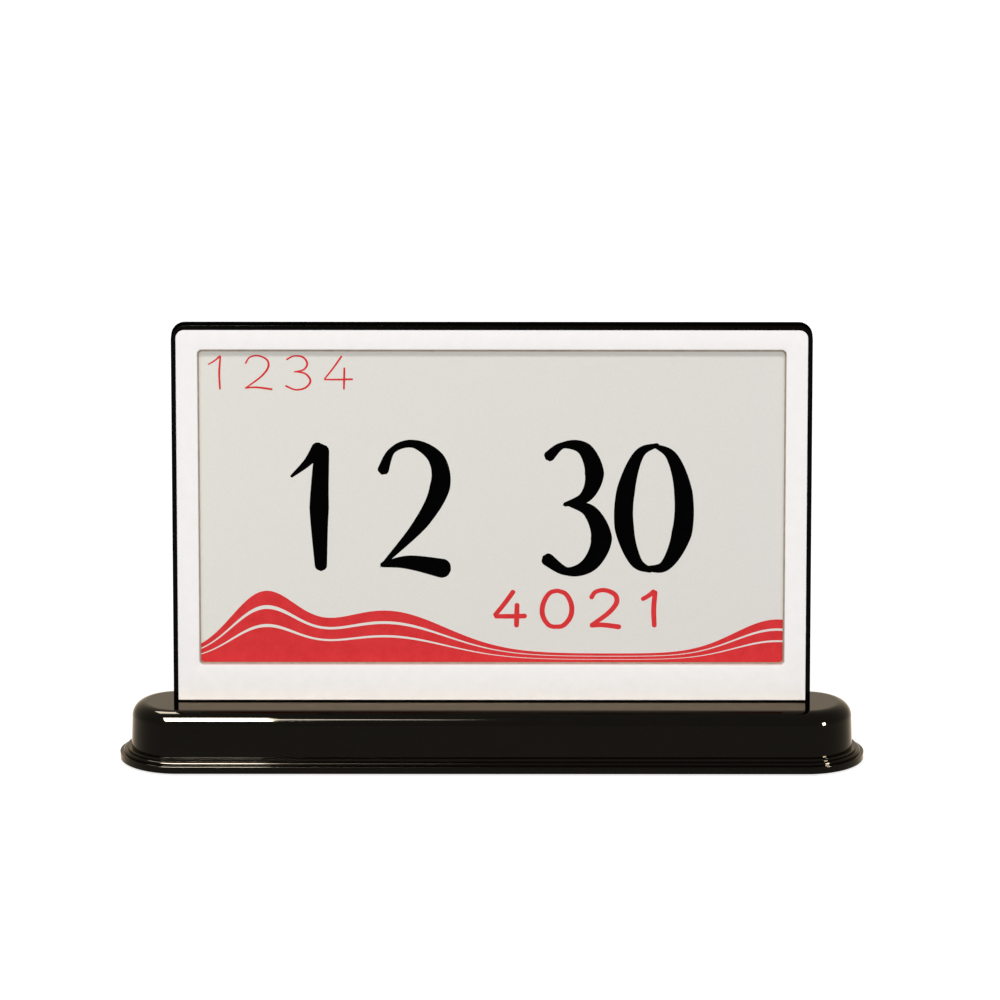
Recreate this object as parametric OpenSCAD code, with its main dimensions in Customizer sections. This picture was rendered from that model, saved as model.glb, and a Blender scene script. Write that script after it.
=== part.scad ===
// E-paper nameplate: an upright display panel that stands in a weighted base.
// Millimetres, +Z up, +X to the viewer's right, +Y away from the viewer.
// The origin lies on the desk, under the middle of the base.

/* [Base] */
// Reach of the base's wall past the panel at each end
base_reach = 12; // [11.9:0.1:25]
// Depth of the base over its walls
wall_d = 26; // [25.6:0.1:30]
// Reach of the stepped flange past the walls
flange_out = 3.2; // [3:0.1:4.5]
// Height of the flange's outer lip
lip_h = 2.1; // [2:0.1:3]
// Rise of each of the two steps above the lip
step_h = 0.85; // [0.6:0.05:1.2]
// Radius of the cove between the steps and the wall
cove_r = 0.8; // [0.4:0.1:0.8]
// Height of the flat wall
wall_h = 7.8; // [7.4:0.1:11]
// Radius of the shoulder between wall and top
shoulder_r = 4.1; // [3.6:0.1:5]
// Lean of the wall from its foot to the shoulder
wall_draft = 0.3; // [0:0.1:0.5]
// Wall thickness of the shell
shell_t = 2; // [1.6:0.1:2.2]
// Thickness of the plate that closes the base
plate_t = 1.6; // [1.4:0.1:2]
// Depth of the plate inside the lip
plate_recess = 0.3; // [0.2:0.1:0.6]
// Wall left outside the plate
lip_wall = 2; // [1.6:0.1:2.4]

/* [Feet] */
// Height of the feet below the base
foot_proud = 0.6; // [0.5:0.1:2]
// Thickness of a foot
foot_t = 1.2; // [1.1:0.1:1.6]
// Diameter of a foot
foot_dia = 8; // [6:0.5:9]
// Distance of the feet's middles from the ends of the wall
foot_end_in = 21.15; // [15.2:0.05:31.2]
// Plate left outside each foot
foot_edge = 1.55; // [1:0.05:3]

/* [Display module] */
// Width of the display's glass backplane
glass_w = 170.2; // [160:0.1:171]
// Height of the display's glass backplane
glass_h = 111.2; // [100:0.1:125]
// Thickness of the glass backplane
glass_t = 0.7; // [0.6:0.05:0.9]
// Thickness of the front film
film_t = 0.45; // [0.4:0.05:0.6]
// Bare border of the glass at the sides and top
film_inset = 0.5; // [0.3:0.1:1]
// Bare ledge of the glass at its foot
ledge_h = 6.1; // [5.5:0.1:7]
// Thickness of the foam gasket in front of the film
gasket_t = 0.4; // [0.3:0.05:0.6]
// How far the gasket shows inside the window
gasket_show = 0.25; // [0.1:0.05:0.5]
// Thickness of the tape behind the glass
tape_t = 0.15; // [0.1:0.05:0.2]
// How far the glass sinks below the top of the base
glass_sunk = 5.2; // [5:0.1:6]

/* [Panel] */
// Thickness of the white front bezel
bezel_t = 1.5; // [1.3:0.1:2]
// White margin at each side of the window
window_side = 6; // [5.9:0.1:13]
// White margin above the window
window_drop = 5.7; // [5.5:0.1:8]
// White margin below the window
window_foot = 10.6; // [9:0.1:20]
// Corner radius of the window
window_r = 1.3; // [0.5:0.1:2.5]
// Visible width of the black rim
rim_w = 1.25; // [1:0.05:1.8]
// Outer corner radius of the rim
rim_r = 3.9; // [2:0.1:5]
// Corner radius of the bezel
bezel_r = 2.4; // [1:0.1:3.5]
// Black line left between bezel and base
foot_line = 0.4; // [0.3:0.1:0.8]
// Ledge beside the glass that carries the bezel
ledge_side = 2.5; // [2.3:0.1:3.5]
// Ledge above the glass that carries the bezel
ledge_top = 1.65; // [1.4:0.05:2.5]
// Thickness of the web behind the glass
web_t = 1; // [0.9:0.1:1.4]
// Place of the panel's front face, from the middle of the base
panel_front_y = -0.6; // [-0.8:0.1:0]
// Depth of the rear cover behind the frame
cover_depth = 4; // [3.9:0.1:4.6]
// Wall thickness of the rear cover
cover_t = 1.2; // [1:0.1:1.4]
// Set-back of the rear cover from the rim
cover_inset = 0.8; // [0.4:0.1:1.2]
// Slope width round the rear cover's edge
cover_slope = 2.4; // [1:0.1:3]

/* [Tongue and channel] */
// Front wall of the tongue, before the glass ledge
tongue_front_t = 1; // [0.8:0.1:1.2]
// Depth of the tongue behind the web
tongue_back_t = 0.9; // [0.9:0.1:1.1]
// Side wall of the tongue, beside the glass
tongue_side_t = 1.2; // [1:0.1:1.8]
// Wall of the channel that holds the tongue
channel_t = 1.1; // [1:0.1:1.2]
// Floor of the channel
channel_floor_t = 1.6; // [1.5:0.1:1.8]
// Room for screw heads between channel and plate
head_room = 1.5; // [1.4:0.1:2]

/* [Fits] */
// Gap round the bezel in the frame
bezel_gap = 0.05; // [0.03:0.01:0.1]
// Gap round the glass in the frame
glass_gap = 0.25; // [0.15:0.05:0.4]
// Gap round the tongue in its channel
tongue_gap = 0.2; // [0.1:0.05:0.25]
// Gap round the closing plate
plate_gap = 0.15; // [0.1:0.05:0.3]
// Gap round the moving button and slider
control_gap = 0.25; // [0.2:0.05:0.4]
// Gap round a fixed part that fits a hole
seat_gap = 0.05; // [0.03:0.01:0.1]
// Gap between a ballast bar and the walls beside it
bar_gap = 0.5; // [0.3:0.1:0.8]

/* [Ballast] */
// Distance of the bars' ends from the base's round ends
bar_end_in = 4.15; // [2.5:0.05:20]
// Distance of the rear bar from the control board
bar_io_gap = 3.5; // [1:0.5:30]
// Distance of the bars' screws from the bars' ends
bar_screw_in = 24; // [10:1:40]

/* [Electronics] */
// Thickness of the main board
board_t = 0.8; // [0.6:0.1:1]
// Distance of the main board's ends from the panel's sides
board_end_in = 34.15; // [29:0.05:39]
// Height of the main board
board_h = 32; // [30:1:36]
// Rise of the main board above the base
board_rise = 7; // [7:0.1:9]
// Gap between web and main board
board_lift = 0.7; // [0.6:0.1:0.8]
// Width of the battery cell
cell_w = 90; // [70:1:100]
// Distance of the battery cell from the panel's top
cell_top_in = 7.2; // [6:0.1:20]
// Thickness of the battery cell
cell_t = 2.4; // [2:0.1:2.5]
// Thickness of the tape under the cell
cell_tape_t = 0.15; // [0.1:0.05:0.2]
// Height of the cell's protection board
guard_h = 3; // [2:0.1:3.5]
// Width of the display's flat flex
flex_w = 30; // [20:1:32]
// Thickness of the display's flat flex
flex_t = 0.12; // [0.1:0.01:0.16]
// Width of the cable between base and panel
link_w = 6; // [4:0.5:7]
// Thickness of the cable between base and panel
link_t = 0.3; // [0.2:0.05:0.4]

/* [Rear controls] */
// Distance of the control board from the right round end
io_end_in = 1.65; // [1.2:0.05:4]
// Distance from the link header to the page button
link_to_button = 9.5; // [9:0.5:12]
// Distance from the page button to the status light
button_to_lamp = 7.5; // [7:0.5:10]
// Distance from the status light to the charging socket
lamp_to_socket = 9; // [8:0.5:12]
// Distance from the charging socket to the power switch
socket_to_switch = 13; // [12.5:0.5:16]
// Depth of the control board
io_d = 4.2; // [4:0.1:4.3]
// Thickness of the control board
io_t = 1; // [0.8:0.1:1.2]
// Height of the charging socket's middle above the flange
socket_rise = 3.3; // [3.2:0.1:4]
// Width of the charging socket
socket_w = 8.94; // [8.9:0.01:9]
// Height of the charging socket
socket_h = 3.26; // [3.2:0.01:3.3]
// Length of the charging socket
socket_l = 6.4; // [6:0.1:6.5]
// Width of the page button
button_w = 7; // [6:0.1:8]
// Height of the page button
button_h = 3.4; // [3:0.1:3.6]
// How far the button and slider stand out
knob_proud = 0.5; // [0.3:0.1:0.8]
// Travel of the page button
button_travel = 0.5; // [0.3:0.05:0.5]
// Width of the power slider's knob
slider_w = 4; // [3:0.1:4.2]
// Height of the power slider's knob
slider_h = 2.2; // [1.8:0.1:2.6]
// Travel of the power slider
slider_travel = 2; // [1.5:0.1:2.2]
// Diameter of the status light's pipe
lamp_dia = 1.8; // [1.4:0.1:2]

/* [Hidden] */
$fn = 48;

// One overrun for every cut
over = 1;
// Steps of a large and of a small rounding
round_steps = 10;
small_steps = 5;

// Roundings of the base's edges
foot_round = 0.3;
lip_round = 0.7;
step_round = 0.25;
// Places of the two steps, as shares of the flange's reach
step_shares = [2/3, 1/3];

// Levels of the base, from the desk up
shell_z = foot_proud;
lip_z = shell_z + lip_h;
wall_z = lip_z + 2 * step_h + cove_r;
shoulder_z = wall_z + wall_h;
base_top = shoulder_z + shoulder_r;
ceiling_z = base_top - shell_t;
plate_z = shell_z + plate_recess;
plate_top = plate_z + plate_t;
channel_z = plate_top + head_room;
channel_floor_z = channel_z + channel_floor_t;
tongue_z = channel_floor_z + tongue_gap;

// Widths that the glass sets, and the length of the base over its walls
pocket_w = glass_w + 2 * glass_gap;
bezel_w = pocket_w + 2 * ledge_side;
panel_w = bezel_w + 2 * (bezel_gap + rim_w);
window_w = bezel_w - 2 * window_side;
wall_l = panel_w + 2 * base_reach;

// Radii of the base about its spine, and the half length of the spine
end_r = wall_d / 2;
run = wall_l / 2 - end_r;
lip_r = end_r + flange_out;
top_r = end_r - wall_draft;
in_r = end_r - shell_t;
in_top_r = top_r - shell_t;
plate_hole_r = lip_r - lip_wall;
plate_r = plate_hole_r - plate_gap;
foot_x = wall_l / 2 - foot_end_in;
foot_y = plate_r - foot_dia / 2 - foot_edge;

// Depth stack of the panel, from its front face to the rear
film_y = panel_front_y + bezel_t + gasket_t;
glass_y = film_y + film_t;
tape_y = glass_y + glass_t;
web_y = tape_y + tape_t;
frame_back_y = web_y + web_t;
bezel_back_y = panel_front_y + bezel_t;
cover_back_y = frame_back_y + cover_depth;
cover_in_y = cover_back_y - cover_t;

// Heights of the panel, worked out round the glass
glass_z = base_top - glass_sunk;
glass_top = glass_z + glass_h;
bezel_top = glass_top + glass_gap + ledge_top;
panel_top = bezel_top + bezel_gap + rim_w;
bezel_z = base_top + foot_line;
window_top = bezel_top - window_drop;
window_z = bezel_z + window_foot;
cover_w = panel_w - 2 * cover_inset;
cover_top = panel_top - cover_inset;
cover_z = base_top + seat_gap;
cover_notch_depth = 0.8;

// Tongue and channel
tongue_y = film_y - tongue_front_t;
tongue_back_y = frame_back_y + tongue_back_t;
tongue_w = pocket_w + 2 * tongue_side_t;
tongue_mid_y = (tongue_y + tongue_back_y) / 2;
slot_w = tongue_w + 2 * tongue_gap;
slot_y = tongue_y - tongue_gap;
slot_back_y = tongue_back_y + tongue_gap;
channel_y = slot_y - channel_t;
channel_back_y = slot_back_y + channel_t;

// Clips of the bezel: hooks that pass the frame and catch behind its web
clip_w = 8;
clip_t = 1.1;
clip_side_gap = 0.3;
clip_hook_t = 0.6;
clip_hook_reach = 0.45;
clip_slot_gap = 0.25;
clip_z_shares = [0.22, 0.5, 0.78];

// Screws: shank diameter, length, head diameter, head height
cover_screw = [2, 3.4, 3.6, 1.1];
board_screw = [1.6, 2, 2.6, 0.8];
plate_screw = [2.5, 4.4, 4.6, 1.2];
ballast_screw = [3, 5, 5.2, 1.4];
panel_screw = [2.2, 5.6, 3.8, 1.3];
io_screw = [1.6, 4, 2.8, 0.9];
// Cross recess in a head: its width and depth, as shares of the head
recess_shares = [0.16, 0.55, 0.5];
pilot_spare = 0.4;
panel_bore_depth = 0.4;

// Bosses and places of the screws
cover_boss_r = 2.6;
cover_boss_in = 9.15;
cover_boss_z_shares = [0.065, 0.5, 0.915];
cover_bore_depth = 1.6;
cover_seat_t = 1;
board_boss_r = 1.8;
board_boss_in = 3;
end_boss_r = 3;
end_boss_out = 6;
mid_boss_r = 2.5;
flex_bay_gap = 0.5;
panel_screw_end_in = 10.55;
panel_screw_flex_gap = 4.5;
outer_screw_x = tongue_w / 2 - panel_screw_end_in;
inner_screw_x = flex_w / 2 + flex_bay_gap + panel_screw_flex_gap;
panel_screw_x = [-outer_screw_x, -inner_screw_x, inner_screw_x, outer_screw_x];
mid_boss_x = (outer_screw_x + inner_screw_x) / 2;
plate_boss_places = [[-run - end_boss_out, 0], [run + end_boss_out, 0],
    [-mid_boss_x, tongue_mid_y], [mid_boss_x, tongue_mid_y]];
io_boss_r = 1.9;
io_boss_in = 2.5;

// Link header and switch next to the bosses of the control board
link_header_wall = 0.75;
link_header_w = link_w + 2 * link_header_wall;
link_boss_gap = 1.35;
switch_w = 8.7;
switch_boss_gap = 1.75;
link_in = io_boss_in + io_boss_r + link_boss_gap + link_header_w / 2;
switch_in = io_boss_in + io_boss_r + switch_boss_gap + switch_w / 2;

// Places of the rear controls along the base
io_l = link_in + link_to_button + button_to_lamp + lamp_to_socket + socket_to_switch + switch_in;
io_left = run - io_end_in - io_l;
link_x = io_left + link_in;
button_x = link_x + link_to_button;
lamp_x = button_x + button_to_lamp;
socket_x = lamp_x + lamp_to_socket;
switch_x = socket_x + socket_to_switch;

// Ballast bars, laid on the plate on each side of the channel
bar_left = bar_end_in - run;
front_bar_right = run - bar_end_in;
rear_bar_right = io_left - bar_io_gap;
front_bar_y = -(in_top_r - bar_gap);
front_bar_back_y = channel_y - bar_gap;
rear_bar_y = channel_back_y + bar_gap;
rear_bar_back_y = in_top_r - bar_gap;

// Display flex: a loop under the glass, then up behind the web to its connector
bond_h = 2;
loop_gap = 0.3;
loop_drop = 0.7;
loop_front_y = glass_y - flex_t;
loop_back_y = frame_back_y + loop_gap + flex_t;
loop_r = (loop_back_y - loop_front_y) / 2;
loop_z = glass_z - loop_drop;
flex_bay_z = loop_z - loop_r - loop_gap;
web_foot_z = glass_z + loop_drop;
chip_w = 12;
chip_h = 1.2;
chip_t = 0.35;
chip_gap = 0.4;

// Strips of tape that hold the glass on the web
display_tape_in = 2.5;
display_tape_w = 6;

// Main board, its parts and their places
board_w = panel_w - 2 * board_end_in;
board_y = frame_back_y + board_lift;
board_back_y = board_y + board_t;
board_z = base_top + board_rise;
board_top = board_z + board_h;
part_h = 1.15;
header_h = 4;
header_in = 1;
header_side = 1.5;
lead_in_y = board_back_y + part_h / 2;
flex_side = 1;
flex_connector_w = flex_w + 2 * flex_side;
flex_mouth_t = 0.36;
link_mouth_t = 0.6;
radio_size = [18, 14];
radio_in = 5;
radio_rise = 9;
radio_x = radio_in - board_w / 2;
controller_side = 7;
controller_h = 0.92;
controller_gap = 6;
controller_rise = 13;
controller_x = radio_x + radio_size[0] + controller_gap;
boost_sizes = [[4, 4], [4, 4], [2.5, 2], [2.5, 2]];
boost_places = [[22, 12], [22, 20], [30, 14], [30, 19]];
battery_header_w = 6;

// Battery in the upper part of the rear cover
cell_tape_w = 60;
cell_tape_h = 12;
cell_gap = 6;
guard_w = 30;
guard_t = 1.2;
lead_dia = 0.9;
lead_pitch = 2;
guard_z = board_top + cell_gap - header_in;
cell_z = guard_z + guard_h;
cell_h = panel_top - cell_top_in - cell_z;
cell_tape_in = 6;
cell_y = frame_back_y + cell_tape_t;

// Control board behind the rear wall
io_gap = 0.2;
io_y = channel_back_y + io_gap;
io_back_y = io_y + io_d;
socket_z = wall_z + socket_rise;
io_top = socket_z - socket_h / 2;
io_z = io_top - io_t;
wall_in_y = in_top_r;
wall_out_y = end_r;
socket_sunk = 0.2;
socket_back_y = wall_out_y - socket_sunk;
socket_r = 1.2;
socket_shell_t = 0.3;
blade_w = 6.7;
blade_t = 0.7;
blade_l = 4.6;

// Link cable: out of the control board, through the channel and up the tongue
link_rise = 0.9;
link_header_d = 2.4;
link_header_h = 1.8;
link_groove_gap = 0.6;
link_groove_depth = 0.6;
link_lift = 0.3;
link_window_drop = 0.3;
link_corner_share = 0.3;
link_header_in = 1.4;
link_groove_y = frame_back_y - link_groove_depth;
link_up_y = frame_back_y + link_lift;
link_window_z = io_top - link_window_drop;
link_window_h = 2.6;
link_in_z = io_top + link_rise;

// Retaining wings of the button and slider, inside the rear wall
wing_t = 0.6;
wing_gap = 0.1;
wing_h = 3;
button_wing_w = 10;
slider_wing_w = 8.8;
wing_back_y = wall_in_y - wing_gap - wing_t;
knob_back_y = wall_out_y + knob_proud;
tact_w = 4.7;
tact_d = 2.3;
tact_h = 1.7;
tact_set = 1;
tact_y = io_y + tact_set;
key_cut_y = wing_back_y + wing_t - button_travel - control_gap;
plunger_w = 2.4;
plunger_h = 0.8;
plunger_rise = 0.5;
plunger_gap = 0.15;
plunger_in = 0.3;
switch_d = 2.9;
switch_h = 2;
switch_set = 0.5;
switch_y = io_y + switch_set;
stub_w = 1.5;
stub_h = 0.8;
stub_rise = 0.6;
stub_gap = 0.2;
stub_in = 0.8;
rib_w = 0.4;
rib_proud = 0.2;
rib_pitch = 1.2;
led_w = 1.6;
led_d = 0.8;
led_h = 0.7;
pipe_foot_w = 2;
pipe_foot_t = 0.8;
pipe_foot_rise = 0.1;

// Colours as they look on the object
white = "#F3F0EF";
black = "#15120F";
paper = "#DFDDD6";
foam = "#3A322B";
glass_tint = "#8C9A94";
board_green = "#1F5B3A";
steel = "#9A9DA1";
dark_chip = "#26282B";
cell_grey = "#B9BCC0";
flex_amber = "#B4762A";
rubber_grey = "#2B2B2D";
lead_red = "#B3261E";
clear = "#D9E2E4";
tape_yellow = "#D8C58A";

// Points of an arc, counted in steps from one angle to the other
function arc(centre, r, from, to, steps) =
    [for (i = [0 : steps]) let (a = from + (to - from) * i / steps) centre + r * [cos(a), sin(a)]];

// Closed outline of a rectangle with one radius at the foot and one at the head
function rounded(x0, x1, z0, z1, r_foot, r_head) = concat(
    arc([x1 - r_foot, z0 + r_foot], r_foot, -90, 0, small_steps),
    arc([x1 - r_head, z1 - r_head], r_head, 0, 90, round_steps),
    arc([x0 + r_head, z1 - r_head], r_head, 90, 180, round_steps),
    arc([x0 + r_foot, z0 + r_foot], r_foot, 180, 270, small_steps));

// The same outline with square corners at the foot
function headed(x0, x1, z0, z1, r_head) = concat([[x0, z0], [x1, z0]],
    arc([x1 - r_head, z1 - r_head], r_head, 0, 90, round_steps),
    arc([x0 + r_head, z1 - r_head], r_head, 90, 180, round_steps));

// Half section of the base's outside: lip, two steps, cove, leaning wall and shoulder
function base_section() = concat(
    arc([lip_r - foot_round, shell_z + foot_round], foot_round, -90, 0, small_steps),
    arc([lip_r - lip_round, lip_z - lip_round], lip_round, 0, 90, small_steps),
    [for (i = [0, 1]) let (r = end_r + flange_out * step_shares[i]) each concat(
        [[r, lip_z + i * step_h]],
        arc([r - step_round, lip_z + (i + 1) * step_h - step_round], step_round, 0, 90, small_steps))],
    arc([end_r + cove_r, wall_z], cove_r, -90, -180, small_steps),
    arc([top_r - shoulder_r, shoulder_z], shoulder_r, 0, 90, round_steps));

// Half section of the hollow inside the base
function hollow_section() = concat([[in_r, shell_z - over], [in_r, wall_z]],
    arc([in_top_r - (shoulder_r - shell_t), shoulder_z], shoulder_r - shell_t, 0, 90, small_steps));

// A block between two corners
module block(low, high) translate(low) cube(high - low);

// A drawing in X and Z, made into a sheet that starts at y and is t thick
module upright(y, t) translate([0, y + t, 0]) rotate([90, 0, 0]) linear_extrude(t) children();

// A drawing in Y and Z, made into a strip w wide about x
module strip(x, w) translate([x - w / 2, 0, 0]) rotate([90, 0, 90]) linear_extrude(w) children();

// A half section carried round the spine: a half turn at each end and a straight run
module spine_sweep(points) {
    low = points[0][1];
    high = points[len(points) - 1][1];
    half = concat([[0, low]], points, [[0, high]]);
    for (side = [0, 1])
        mirror([side, 0, 0])
            translate([run, 0, 0])
                rotate([0, 0, -90]) rotate_extrude(angle = 180) polygon(half);
    rotate([90, 0, 90]) linear_extrude(2 * run, center = true)
        polygon(concat(points, [for (i = [len(points) - 1 : -1 : 0]) [-points[i][0], points[i][1]]]));
}

// A slab round the spine, with one radius all the way up
module spine_slab(r, z0, z1) spine_sweep([[r, z0], [r, z1]]);

// A rod along +Y and a rod along +Z
module rod_y(x, z, y0, y1, d) translate([x, y1, z]) rotate([90, 0, 0]) cylinder(h = y1 - y0, d = d);
module rod_z(x, y, z0, z1, d) translate([x, y, z0]) cylinder(h = z1 - z0, d = d);

// A screw pointing up +Z, its head below z = 0, with a cross recess
module screw(size, countersunk = false) {
    head_h = size[3];
    head_d = size[2];
    cross_w = head_d * recess_shares[0];
    cross_l = head_d * recess_shares[1];
    cross_h = head_h * recess_shares[2];
    difference() {
        union() {
            cylinder(h = size[1], d = size[0]);
            if (countersunk) {
                cylinder(h = head_h, d1 = head_d, d2 = size[0]);
            } else {
                translate([0, 0, -head_h]) cylinder(h = head_h, d = head_d);
            }
        }
        for (turn = [0, 90])
            rotate([0, 0, turn])
                translate([-cross_l / 2, -cross_w / 2, (countersunk ? 0 : -head_h) - over])
                    cube([cross_l, cross_w, cross_h + over]);
    }
}

// Bore for a screw with a countersunk head, from z upward
module sunk_bore(x, y, z, size) {
    rod_z(x, y, z - over, z + plate_t + over, size[0] + 2 * seat_gap);
    translate([x, y, z - seat_gap])
        cylinder(h = size[3], d1 = size[2] + 2 * seat_gap, d2 = size[0] + 2 * seat_gap);
}

// A path of points in Y and Z, made into a flat ribbon t thick
function side_steps(p, t) = [for (i = [0 : len(p) - 1])
    let (a = p[max(i - 1, 0)], b = p[min(i + 1, len(p) - 1)], d = b - a)
        [-d[1], d[0]] / norm(d) * t / 2];
module ribbon(path, t) {
    side = side_steps(path, t);
    polygon(concat([for (i = [0 : len(path) - 1]) path[i] + side[i]],
        [for (i = [len(path) - 1 : -1 : 0]) path[i] - side[i]]));
}

// White moulded bezel with its six clips
module front_bezel() color(white) {
    difference() {
        upright(panel_front_y, bezel_t)
            polygon(headed(-bezel_w / 2, bezel_w / 2, bezel_z, bezel_top, bezel_r));
        upright(panel_front_y - over, bezel_t + 2 * over)
            polygon(rounded(-window_w / 2, window_w / 2, window_z, window_top, window_r, window_r));
    }
    for (side = [0, 1])
        mirror([side, 0, 0])
            for (share = clip_z_shares)
                bezel_clip(clip_place_z(share));
}
function clip_place_z(share) = bezel_z + share * (bezel_top - bezel_z);
module bezel_clip(z) {
    x0 = pocket_w / 2 + clip_side_gap;
    hook_y = frame_back_y + seat_gap;
    block([x0, bezel_back_y, z - clip_w / 2], [x0 + clip_t, hook_y + clip_hook_t, z + clip_w / 2]);
    block([pocket_w / 2 - clip_hook_reach, hook_y, z - clip_w / 2],
        [x0 + clip_t, hook_y + clip_hook_t, z + clip_w / 2]);
}

// Black frame: rim, ledges, web behind the glass and the tongue that enters the base
module panel_frame() color(black) difference() {
    union() {
        upright(panel_front_y, frame_back_y - panel_front_y)
            polygon(headed(-panel_w / 2, panel_w / 2, base_top, panel_top, rim_r));
        block([-tongue_w / 2, tongue_y, tongue_z], [tongue_w / 2, tongue_back_y, base_top]);
        for (p = cover_boss_places())
            rod_y(p[0], p[1], frame_back_y - web_t / 2, cover_seat_y(), 2 * cover_boss_r);
        for (p = board_boss_places())
            rod_y(p[0], p[1], frame_back_y - web_t / 2, board_y, 2 * board_boss_r);
    }
    // Recess of the bezel
    upright(panel_front_y - over, bezel_t + over)
        polygon(headed(-bezel_w / 2 - bezel_gap, bezel_w / 2 + bezel_gap, bezel_z - bezel_gap,
            bezel_top + bezel_gap, bezel_r + bezel_gap));
    // Pocket of the glass, open to the front behind the bezel
    block([-pocket_w / 2, bezel_back_y - over, bezel_z - bezel_gap],
        [pocket_w / 2, web_y, glass_top + glass_gap]);
    block([-pocket_w / 2, film_y, glass_z - glass_gap], [pocket_w / 2, web_y, base_top + over]);
    // Bay of the flex loop under the glass, and its way up behind the web
    flex_cut(film_y, web_foot_z);
    flex_cut(frame_back_y, base_top);
    // Groove of the link cable
    block([link_x - link_groove_w() / 2, link_groove_y, tongue_z - over],
        [link_x + link_groove_w() / 2, tongue_back_y + over, board_z]);
    // Slots of the bezel's clips
    for (side = [0, 1])
        mirror([side, 0, 0])
            for (share = clip_z_shares)
                clip_slot(clip_place_z(share));
    // Web windows that save weight behind the glass
    for (side = [0, 1])
        mirror([side, 0, 0])
            upright(web_y - over, web_t + 2 * over)
                polygon(rounded(web_window_x0(), web_window_x1(), cell_z, cell_z + cell_h,
                    window_r, window_r));
    // Pilot holes
    for (p = cover_boss_places())
        rod_y(p[0], p[1], cover_seat_y() - cover_screw[1], cover_seat_y() + over,
            cover_screw[0] + 2 * seat_gap);
    for (p = board_boss_places())
        rod_y(p[0], p[1], board_back_y - board_screw[1] - seat_gap, board_y + over,
            board_screw[0] + 2 * seat_gap);
    for (x = panel_screw_x)
        rod_z(x, tongue_mid_y, tongue_z - over, panel_screw_top() + pilot_spare,
            panel_screw[0] + 2 * seat_gap);
}
module clip_slot(z)
    block([pocket_w / 2 - over, bezel_back_y - over, z - clip_w / 2 - clip_slot_gap],
        [pocket_w / 2 + clip_side_gap + clip_t + clip_slot_gap, frame_back_y + over,
            z + clip_w / 2 + clip_slot_gap]);
module flex_cut(y, top)
    block([-flex_bay_w() / 2, y, flex_bay_z], [flex_bay_w() / 2, tongue_back_y + over, top]);
function flex_bay_w() = flex_w + 2 * flex_bay_gap;
function link_groove_w() = link_w + 2 * link_groove_gap;
function web_window_x0() = cell_w / 2 + board_boss_in;
function web_window_x1() = panel_w / 2 - cover_boss_in - cover_boss_r - board_boss_in;
function cover_seat_y() = cover_back_y - cover_bore_depth - cover_seat_t;
function cover_boss_places() = [for (side = [-1, 1], share = cover_boss_z_shares)
    [side * (panel_w / 2 - cover_boss_in), base_top + share * (panel_top - base_top)]];
function board_boss_places() = [for (side = [-1, 1], z = [board_z + board_boss_in, board_top - board_boss_in])
    [side * (board_w / 2 - board_boss_in), z]];
function panel_screw_top() = channel_z + panel_bore_depth + panel_screw[1];

// A slab with a sloped edge at the sides and the head
module sloped_slab(w, top, z0, y0, y1, slope, r) intersection() {
    upright(y0, y1 - y0) polygon(headed(-w / 2, w / 2, z0, top, r));
    translate([0, 0, z0 - over]) linear_extrude(top - z0 + 2 * over)
        polygon([[-w / 2, y0], [w / 2, y0], [w / 2, y1 - slope], [w / 2 - slope, y1],
            [slope - w / 2, y1], [-w / 2, y1 - slope]]);
    strip(0, w + 2 * over)
        polygon([[y0, z0 - over], [y1, z0 - over], [y1, top - slope], [y1 - slope, top], [y0, top]]);
}

// Black rear cover with six screw wells
module back_cover() color(black) difference() {
    union() {
        difference() {
            sloped_slab(cover_w, cover_top, cover_z, frame_back_y, cover_back_y, cover_slope,
                rim_r - cover_inset);
            sloped_slab(cover_w - 2 * cover_t, cover_top - cover_t, cover_z + cover_t,
                frame_back_y - over, cover_in_y, cover_slope, rim_r - cover_inset);
        }
        for (p = cover_boss_places())
            rod_y(p[0], p[1], cover_seat_y(), cover_back_y - cover_t / 2, 2 * cover_boss_r);
    }
    for (p = cover_boss_places()) {
        rod_y(p[0], p[1], cover_seat_y() - over, cover_back_y + over, cover_screw[0] + 2 * seat_gap);
        rod_y(p[0], p[1], cover_back_y - cover_bore_depth, cover_back_y + over,
            cover_screw[2] + 2 * control_gap);
    }
    // Notches in the foot for the display's flex and the link cable
    cover_notch(0, flex_bay_w());
    cover_notch(link_x, link_groove_w());
}
module cover_notch(x, w) block([x - w / 2, frame_back_y - over, cover_z - over],
    [x + w / 2, frame_back_y + cover_notch_depth, cover_z + cover_t + over]);
module back_cover_screws() color(steel)
    for (p = cover_boss_places())
        translate([p[0], cover_back_y - cover_bore_depth, p[1]]) rotate([90, 0, 0]) screw(cover_screw);

// Dark foam gasket between bezel and film
module foam_gasket() color(foam) difference() {
    upright(bezel_back_y, gasket_t)
        polygon(headed(-film_w() / 2, film_w() / 2, bezel_z, film_top(), window_r));
    upright(bezel_back_y - over, gasket_t + 2 * over)
        polygon(rounded(-window_w / 2 + gasket_show, window_w / 2 - gasket_show, window_z + gasket_show,
            window_top - gasket_show, window_r, window_r));
}
function film_w() = glass_w - 2 * film_inset;
function film_top() = glass_top - film_inset;

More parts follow.
